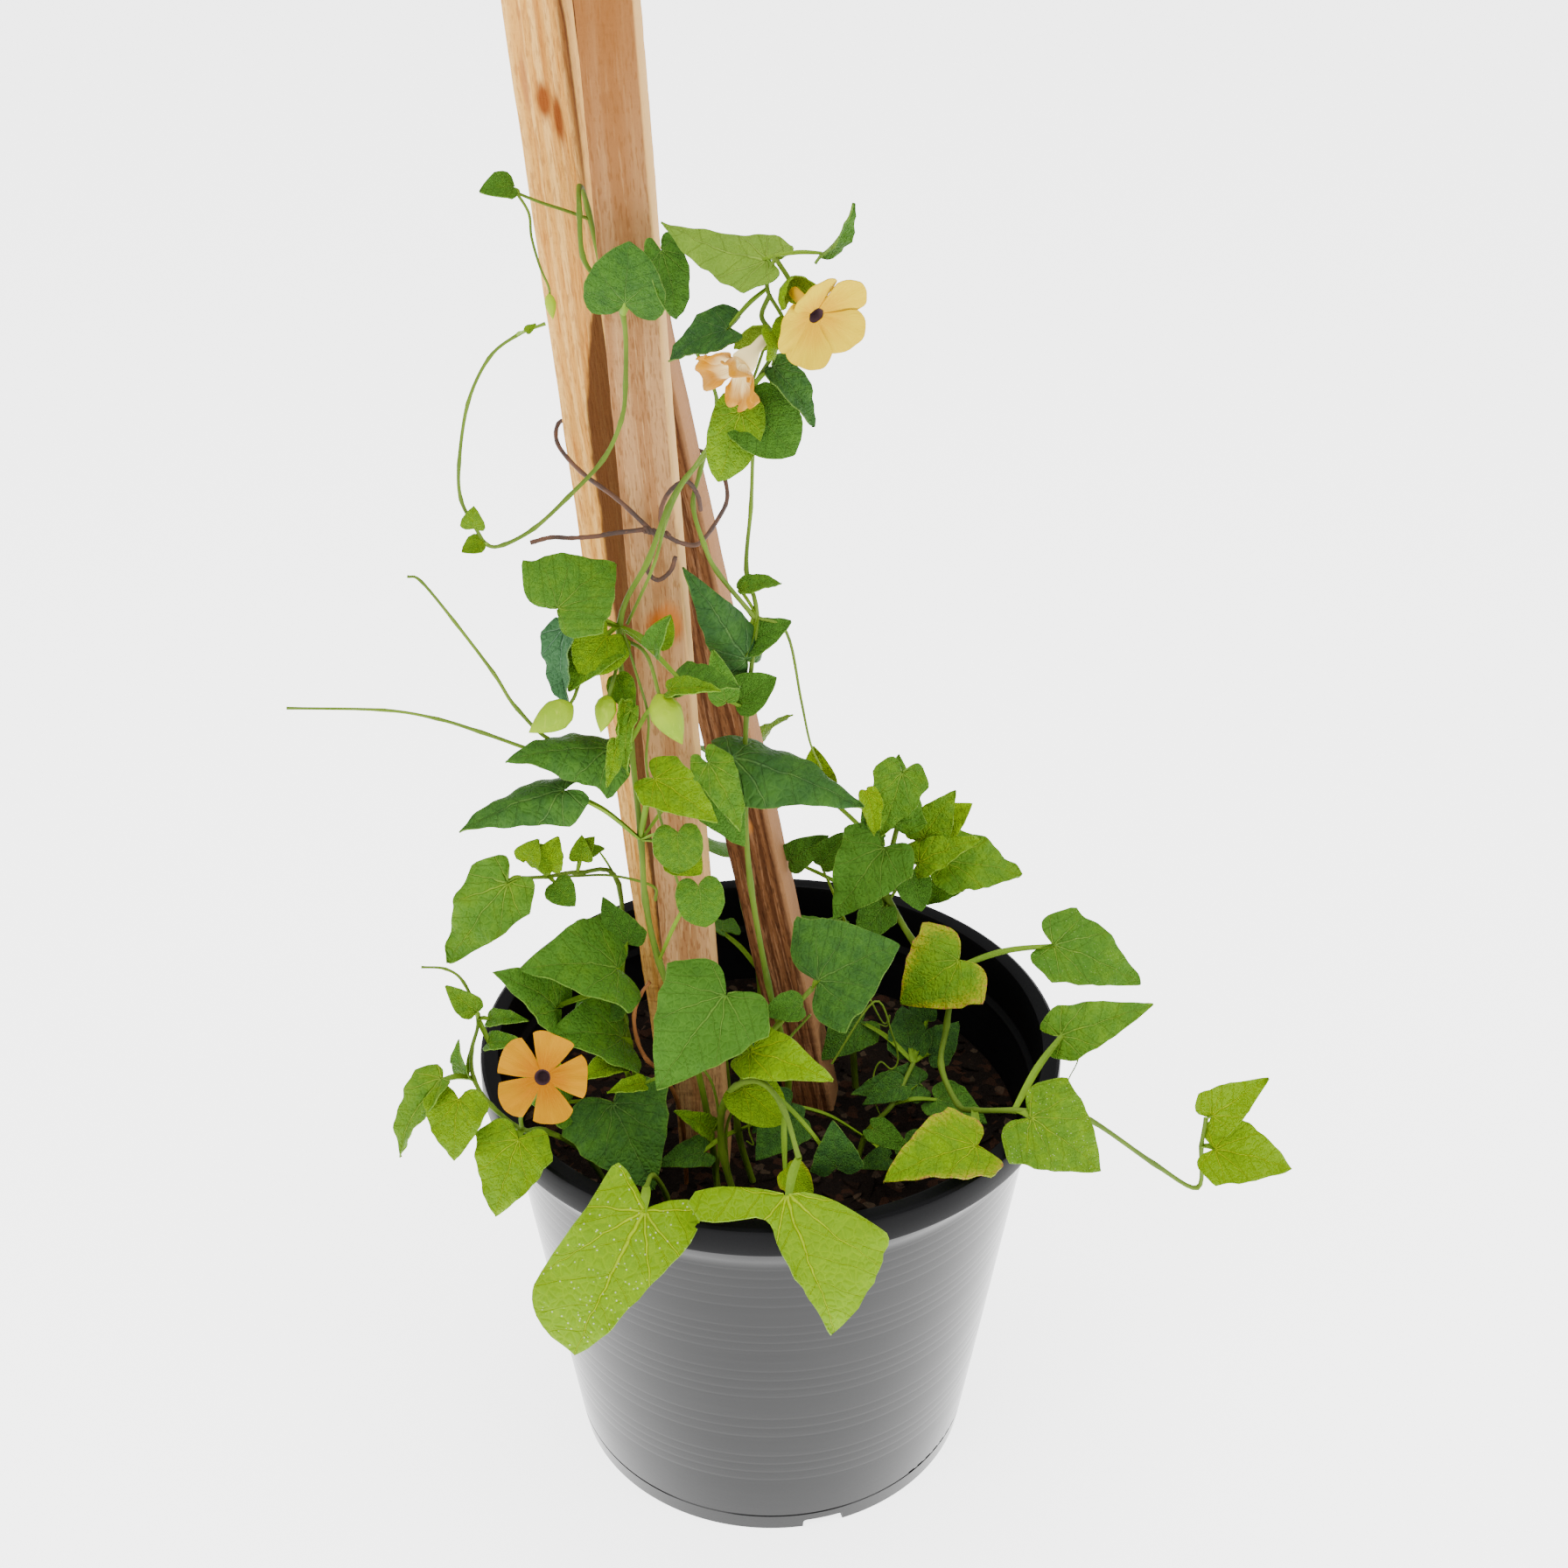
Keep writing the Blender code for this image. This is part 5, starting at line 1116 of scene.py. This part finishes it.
plant = Plant("outer_left_stem", "stem_left_outer", 6)
plant.stem(1.6, 0.6, (-62, -52, 148), (-78, -66, 200), (-94, -79, 225), (-103, -82, 228), (-116, -77, 237),
           (-123, -71, 246), (-124, -65, 256), (-121, -60, 269), (-126, -58, 286), (-133, -57, 292),
           (-143, -57, 293))
plant.leaf(3, (-104, -88, 228), (-114, -102, 198), (-0.1, -0.8, 0.6), 1.0, 0.85, wave=1.6)
plant.leaf(4, (-128, -84, 246), (-130, -96, 223), (-0.1, -0.75, 0.65), 1.1, 0.85, wave=1.6)
plant.leaf(5, (-136, -76, 250), (-155, -84, 215), (-0.6, -0.5, 0.6), 0.5, 0.7, "narrow")
plant.leaf(7, (-121, -63, 275), (-132, -66, 290), (-0.3, -0.6, 0.75), 0.6, 0.7, "small")
plant.leaf(7, (-116, -62, 270), (-99, -68, 274), (0, -0.5, 0.85), 0.45, 0.6, "narrow")
plant.leaf(7, (-117, -66, 261), (-100, -72, 265), (0, -0.5, 0.85), 0.5, 0.6, "narrow")
plant.leaf(6, (-126, -68, 245), (-128, -72, 267), (-0.5, -0.8, 0.3), 0.45, 0.6, "narrow")
ORANGE = {"eye": (-90, -104, 273), "facing": (0.0, -0.85, 0.5), "radius": 19.0, "tube": 14.0, "mouth": 3.6,
          "lift": 4.0}
plant.stalk(ORANGE, (-103, -82, 228), (-102, -87, 240), (-96, -88, 250))
plant.finish()

# The front left leaf: a large bright leaf with a few pale specks, on a short green stem of its own.
# The stem grows in the soil, and the leaf hangs over the rim.

plant = Plant("front_left_leaf", "stem_front_left", 7)
plant.stem(1.5, 1.2, (-42, -62, 148), (-44, -80, 190), (-48, -98, 217), (-50, -111, 222))
plant.leaf(3, (-50, -121, 219), (-79, -150, 167), (-0.1, -0.8, 0.6), 0.78, 0.95, "shield", specks=1.0)
plant.finish()

# The front stem: a thick green stem that rises from the soil and bends over towards the front.
# It carries the largest leaf, folded along its middle, which hangs over the front rim.

plant = Plant("front_stem", "stem_front", 8)
plant.stem(1.9, 1.3, (-10, -58, 148), (-20, -64, 198), (-20, -67, 227), (-14, -72, 243), (-3, -81, 252),
           (6, -93, 247), (12, -106, 233))
plant.leaf(6, (7, -122, 227), (27, -154, 182), (0.05, -0.8, 0.6), 1.2, 0.95, "folded", hook=0.12)
plant.leaf(5, (6, -100, 222), (18, -106, 214), (0.2, -0.8, 0.5), 0.9, 1.0, "small", age=0.35)
plant.leaf(4, (28, -92, 216), (26, -86, 236), (0, -0.7, 0.7), 1.1, 0.2)
plant.shoot(0.6, 0.4, (-11, -60, 236), (-7, -62, 222), (-9, -62, 212), (-7, -64, 205), (-10, -64, 207))
plant.finish()

# The middle stem: a green stem with two bare side stems, rooted in the soil in front of the stakes' feet.
# Its broad leaves stand one above the other, and the young ones are narrow.

plant = Plant("middle_stem", "stem_centre", 9)
plant.stem(1.8, 1.2, (-4, -40, 148), (-14, -51, 202), (-12, -56, 231), (-6, -58, 251), (4, -54, 262),
           (18, -48, 276))
plant.leaf(3, (-18, -64, 284), (-46, -88, 254), (-0.1, -0.65, 0.75), 1.1, 0.45)
plant.leaf(5, (20, -48, 280), (54, -42, 294), (0.05, -0.6, 0.8), 1.45, 0.25)
plant.leaf(4, (14, -54, 271), (-3, -58, 270), (0, -0.6, 0.8), 0.8, 0.4, "small")
plant.leaf(3, (-8, -72, 261), (26, -86, 257), (0.05, -0.6, 0.8), 0.7, 0.9)
plant.leaf(3, (-8, -62, 272), (-4, -70, 258), (0.5, -0.8, 0.3), 0.6, 0.2, "small")
plant.leaf(1, (-28, -65, 202), (-49, -76, 203), (-0.1, -0.6, 0.8), 0.65, 0.3)
plant.leaf(1, (9, -60, 216), (-6, -72, 203), (0, -0.6, 0.8), 1.1, 0.25)
plant.leaf(3, (-52, -74, 246), (-67, -80, 246), (0, -0.5, 0.9), 0.5, 0.85, "narrow", wave=1.6)
plant.leaf(3, (-11, -70, 240), (6, -80, 230), (0, -0.7, 0.7), 1.0, 0.9, "round")
plant.leaf(2, (-24, -66, 214), (-40, -70, 228), (0, -0.6, 0.8), 0.5, 0.75, "narrow", wave=1.6)
plant.shoot(0.8, 0.7, (-24, -64, 166), (-22, -62, 202), (-22, -60, 220), (-25, -58, 235), (-31, -56, 243))
plant.shoot(0.9, 0.7, (-16, -60, 166), (-19, -60, 206), (-14, -58, 222), (-4, -56, 233), (4, -54, 248),
            (17, -52, 265))
plant.finish()

# The low stem: a short stem in the soil of the pot's right half, with small dark leaves in the rim's shade.
# Two thin wiry tendrils run down over them.

plant = Plant("low_inner_stem", "leaves_inside", 10)
plant.stem(1.6, 1.1, (36, -34, 148), (42, -29, 180), (54, -26, 196), (64, -9, 206))
plant.leaf(3, (63, -1, 208), (60, 21, 216), (-0.1, -0.5, 0.85), 0.9, 0.2)
plant.leaf(3, (72, 0, 204), (86, 16, 210), (0.2, -0.4, 0.9), 0.9, 0.2)
plant.leaf(2, (66, -14, 198), (36, -18, 196), (0, -0.5, 0.85), 0.65, 0.25)
plant.leaf(2, (74, -22, 196), (96, -34, 192), (0.2, -0.4, 0.9), 0.9, 0.35)
plant.leaf(1, (60, -40, 186), (74, -52, 184), (0, -0.4, 0.9), 0.9, 0.3)
plant.leaf(1, (52, -46, 182), (38, -50, 180), (0, -0.4, 0.9), 0.9, 0.25)
plant.leaf(3, (42, 14, 212), (23, 6, 196), (0, -0.6, 0.8), 0.95, 0.3)
plant.leaf(3, (72, 20, 208), (62, 26, 216), (0, -0.6, 0.8), 0.9, 0.2)
plant.leaf(2, (58, -20, 202), (41, -26, 196), (0, -0.5, 0.85), 0.8, 0.25)
plant.leaf(1, (45, -50, 202), (61, -56, 193), (0, -0.5, 0.85), 0.7, 0.45)
plant.leaf(1, (9, -40, 208), (-8, -50, 200), (0, -0.6, 0.8), 0.95, 0.2)
plant.shoot(0.6, 0.35, (27, -20, 214), (46, -6, 238), (54, -8, 222), (57, -10, 209), (54, -12, 205),
            (49, -12, 209), (46, -14, 202), (47, -22, 193), (54, -34, 186), (63, -44, 183))
plant.shoot(0.5, 0.35, (40, -2, 247), (50, -4, 225), (53, -4, 229), (52, -4, 223), (48, -5, 225))
plant.finish()

# The right stem: the thickest one, a bush of green leaves to the right of the stakes.
# A long trailer grows from it over the right rim, with a yellowing leaf and, at its end, bright young ones.

plant = Plant("right_stem", "stem_right", 11)
plant.stem(2.0, 1.3, (41, 20, 148), (38, 28, 197), (42, 30, 229), (50, 32, 259), (53, 34, 286),
           (58, 36, 312), (61, 38, 329))
plant.leaf(5, (55, 32, 306), (56, 38, 339), (0.1, -0.8, 0.5), 0.8, 0.6, wave=1.9)
plant.leaf(4, (50, 24, 300), (28, 12, 270), (-0.2, -0.8, 0.5), 0.95, 0.5, wave=1.9)
plant.leaf(4, (46, 30, 301), (41, 32, 321), (0, -0.9, 0.2), 0.5, 0.35, "narrow", wave=1.9)
plant.leaf(5, (68, 38, 296), (82, 44, 317), (0.1, -0.7, 0.7), 0.9, 0.75, wave=1.9)
plant.leaf(4, (79, 40, 282), (114, 44, 272), (0.1, -0.6, 0.8), 0.9, 0.7, wave=1.9)
plant.leaf(4, (66, 32, 287), (94, 34, 298), (0.1, -0.6, 0.8), 0.6, 0.8, wave=1.9)
plant.leaf(3, (62, 30, 282), (68, 24, 266), (0, -0.8, 0.6), 0.9, 0.45, "small")
plant.leaf(2, (22, 30, 286), (34, 36, 300), (0, -0.7, 0.7), 0.7, 0.45, "small")
plant.leaf(3, (50, 26, 266), (38, 20, 250), (0, -0.7, 0.7), 0.9, 0.4)
plant.leaf(5, (41, 10, 337), (45, 8, 316), (0.4, -0.85, 0.2), 0.5, 0.95, "narrow", age=0.15, wave=1.9)
plant.leaf(5, (57, 24, 338), (48, 18, 310), (0.1, -0.8, 0.5), 0.85, 0.65, wave=1.9)
plant.leaf(4, (66, 42, 291), (90, 46, 309), (0.1, -0.7, 0.7), 0.8, 0.95, "narrow", wave=1.9)
plant.leaf(4, (22, 60, 306), (19, 62, 329), (0, -0.8, 0.5), 0.75, 1.0, "small", wave=1.9)
plant.leaf(3, (8, 34, 286), (26, 38, 297), (0, -0.8, 0.6), 0.7, 0.4, "narrow")
plant.leaf(4, (83, 40, 275), (71, 36, 261), (0, -0.8, 0.6), 0.9, 0.6, wave=1.9)
plant.stem(1.8, 1.1, (51, 32, 271), (65, 20, 251), (80, 10, 243), (79, 0, 221), (76, -14, 209),
           (82, -38, 206), (88, -52, 214), (104, -62, 222), (122, -64, 222), (137, -60, 215),
           (168, -52, 184), (189, -48, 167), (189, -46, 189), (190, -44, 203))
plant.leaf(2, (127, 18, 252), (167, 14, 233), (0.1, -0.6, 0.8), 0.85, 0.6, specks=0.25)
plant.leaf(2, (84, 9, 250), (58, 3, 230), (0, -0.7, 0.7), 1.35, 0.75, age=0.5)
plant.leaf(7, (125, -36, 242), (164, -34, 257), (0.1, -0.7, 0.7), 0.6, 0.65)
plant.leaf(7, (110, -68, 223), (140, -80, 204), (0.1, -0.65, 0.75), 1.2, 0.75, specks=0.7)
plant.leaf(6, (86, -83, 220), (47, -99, 215), (0.05, -0.2, 0.98), 0.95, 0.85, age=0.42)
plant.leaf(13, (192, -46, 206), (215, -44, 225), (0.1, -0.6, 0.8), 0.75, 0.95)
plant.leaf(12, (194, -50, 191), (228, -54, 183), (0.1, -0.65, 0.75), 0.95, 1.0)
plant.shoot(0.4, 0.3, (137, -34, 241), (135, -34, 235), (133, -36, 227), (130, -38, 221), (127, -40, 213))
plant.finish()

# The back sprig: a short leafy green stem that grows in the soil at the back of the pot.
# The stakes hide it from the front.

plant = Plant("back_sprig", "sprig_back", 12)
plant.stem(1.8, 1.1, (-6, 62, 148), (-6, 70, 200), (-14, 76, 240), (-10, 80, 275), (-16, 78, 305))
plant.leaf(1, (-24, 84, 214), (-52, 96, 206), (-0.2, 0.6, 0.8), 1.05, 0.4)
plant.leaf(1, (12, 84, 212), (38, 100, 208), (0.2, 0.6, 0.8), 1.05, 0.45)
plant.leaf(2, (-16, 96, 250), (-22, 128, 232), (0, 0.8, 0.6), 1.1, 0.5)
plant.leaf(3, (10, 88, 286), (38, 100, 276), (0.2, 0.6, 0.8), 0.95, 0.5)
plant.leaf(4, (-24, 84, 312), (-44, 96, 306), (-0.3, 0.6, 0.8), 0.9, 0.55)
plant.leaf(4, (-8, 82, 316), (10, 86, 332), (0.2, 0.5, 0.8), 0.8, 0.7)
plant.finish()

# The dead stem: last season's length of stem, dried to a thin orange-brown stick.
# It still stands in the soil and twines beside the front stake.

plant = Plant("dry_stem", "dead_stem", 13)
plant.stem(1.2, 0.9, (-37, -45, 148), (-38, -50, 205), (-44, -51, 230), (-52, -52, 241), (-56, -51, 251),
           (-57, -50, 263), (-54, -49, 273), (-50, -48, 279))
plant.finish(stem_surface("dry_brown_stem", (0.30, 0.12, 0.035), (0.19, 0.065, 0.018), (0.09, 0.03, 0.01)))

# The blooms: five thin lobes round a narrow throat on a slim tube, between the two green bracts.
# The yellow one's lobes overlap, the orange one's are square-ended and apart, and the peach one has wilted.

PETAL_THICKNESS = 0.45
LOBE_COUNT = 5


def petal_surface(name, inner, outer, streak):
    made, tree, shader = new_material(name)
    where = put(tree, "SeparateXYZ", {0: read(tree, "petal")})
    rays = noise(tree, place_of(tree, where[0], times(tree, where[1], 0.12), where[2]), 16.0, 3.0, 0.6)
    clouds = noise(tree, put(tree, "TexCoord", {})["Object"], 120.0, 2.0)
    colour = mix(tree, rise(tree, where[1], 0.1, 0.8), inner, outer)
    colour = mix(tree, rise(tree, rays, 0.45, 0.75, 0.0, 0.55), colour, streak)
    colour = mix(tree, rise(tree, clouds, 0.4, 0.8, 0.0, 0.2), colour, inner)
    surface(tree, shader, colour, 0.7, 0.02, times(tree, rays, 0.0006), 0.6)
    return made


def facing_frame(bloom):
    """Turns +Z to the way a bloom faces, and moves it to the bloom's eye."""
    turn = Vector((0, 0, 1)).rotation_difference(Vector(bloom["facing"]).normalized()).to_matrix().to_4x4()
    return Matrix.Translation(Vector(bloom["eye"]) * MM) @ turn


select()
bpy.ops.mesh.primitive_grid_add(x_subdivisions=18, y_subdivisions=14, size=2.0)
petal_master = bpy.context.object


def corolla(name, node, bloom, half_angles, corner, cup, crumple, material, seed):
    """Five lobes round the throat and the tube behind; half_angles are a lobe's, in degrees, outwards."""
    radius, mouth, lift = bloom["radius"], bloom["mouth"], bloom["lift"]
    random = np.random.default_rng(seed)
    lobes = []
    for k in range(LOBE_COUNT):
        lobe = own_copy(petal_master)
        phase = random.uniform(0, 6.28, 4)
        marks = []
        for vertex in lobe.data.vertices:
            t, r = vertex.co.x, (vertex.co.y + 1) / 2
            edge = 1.0 - corner * abs(t) ** 4 - 0.03 * math.cos(3 * t + phase[0]) * r
            reach = mouth - 0.3 + (radius * edge - mouth) * r
            half = np.interp(r, (0.0, 0.5, 0.75, 1.0), half_angles)
            angle = math.radians(360 / LOBE_COUNT * k + half * t + 2.0 * math.sin(phase[1]) * r)
            share = reach / radius
            high = lift * max(0.0, share - 0.12) ** 1.15 + share * (0.6 - 1.6 * abs(t) ** 1.5 + cup * t)
            high += share * (0.35 * math.sin(5 * t + 6 * r + phase[2]) + 0.25 * math.sin(11 * t + phase[3]))
            if crumple:
                reach *= 1 - 0.10 * crumple * math.sin(3 * t + 4 * r + phase[0])
                folds = 1.5 * math.sin(6 * t + phase[1]) + math.sin(9 * r + 4 * t + phase[2])
                high += crumple * share * folds
                angle += crumple * 0.10 * math.sin(5 * r + phase[3])
            vertex.co = (reach * math.cos(angle) * MM, reach * math.sin(angle) * MM, high * MM)
            marks.append((t, r, 3.0 * k + seed))
        mark_points(lobe, "petal", marks)
        lobes.append(lobe)
    whole = join_all(lobes, name)
    thicken(whole, PETAL_THICKNESS, 0)
    foot = -bloom["tube"]
    tube_profile = ((0.0, foot), (2.0, foot), (2.2, foot * 0.6), (mouth + 0.9, -3.0), (mouth + 1.3, -0.9),
                    (mouth + 0.7, 0.15), (mouth, 0.0), (mouth - 0.45, -2.6), (mouth - 0.5, -4.9), (0.0, -5.0))
    tube = turn_profile(name + "_tube", tube_profile, 40)
    whole = join_all([whole, tube], name)
    whole.data.transform(facing_frame(bloom))
    smooth(whole, 60.0)
    whole.data.materials.append(material)
    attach(whole, "root")
    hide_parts(node)


def throat(name, node, bloom, material):
    """The dark velvety cup that lines the mouth of a bloom."""
    mouth = bloom["mouth"]
    cup = ((0.0, -4.6), (mouth - 0.9, -4.6), (mouth - 0.55, -2.0), (mouth - 0.1, 0.15), (mouth - 0.3, 0.3),
           (mouth - 0.9, -0.3), (mouth - 1.5, -2.6), (mouth - 2.2, -3.4), (0.0, -3.6))
    made = turn_profile(name, cup, 40)
    made.data.transform(facing_frame(bloom))
    smooth(made, 50.0)
    made.data.materials.append(material)
    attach(made, "root")
    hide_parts(node)


yellow_petal = petal_surface("yellow_petal", (0.56, 0.30, 0.0), (0.58, 0.40, 0.0), (0.66, 0.50, 0.0))
orange_petal = petal_surface("orange_petal", (0.37, 0.125, 0.0), (0.42, 0.185, 0.0), (0.47, 0.23, 0.0))
wilted_petal = petal_surface("wilted_petal", (0.90, 0.74, 0.36), (0.46, 0.19, 0.0), (0.38, 0.12, 0.0))
maroon, tree, shader = new_material("maroon_throat")
velvet = noise(tree, put(tree, "TexCoord", {})["Object"], 900.0)
velvet = mix(tree, velvet, (0.012, 0.003, 0.006), (0.045, 0.008, 0.016))
feed(tree, shader, {"Base Color": velvet, "Roughness": 0.8})
corolla("yellow_bloom", "bloom_yellow", YELLOW, (36, 38, 40, 38), 0.16, 1.0, 0.0,
        yellow_petal, 1)
throat("yellow_bloom_throat", "bloom_yellow_eye", YELLOW, maroon)
corolla("wilted_bloom", "bloom_wilted", WILTED, (37, 38, 37, 34), 0.12, 0.8, 1.0,
        wilted_petal, 2)
corolla("orange_bloom", "bloom_orange", ORANGE, (36, 32, 30, 28), 0.05, 0.2, 0.0,
        orange_petal, 3)
throat("orange_bloom_throat", "bloom_orange_eye", ORANGE, maroon)

for spare in [*masters.values(), wing, petal_master]:
    bpy.data.objects.remove(spare, do_unlink=True)
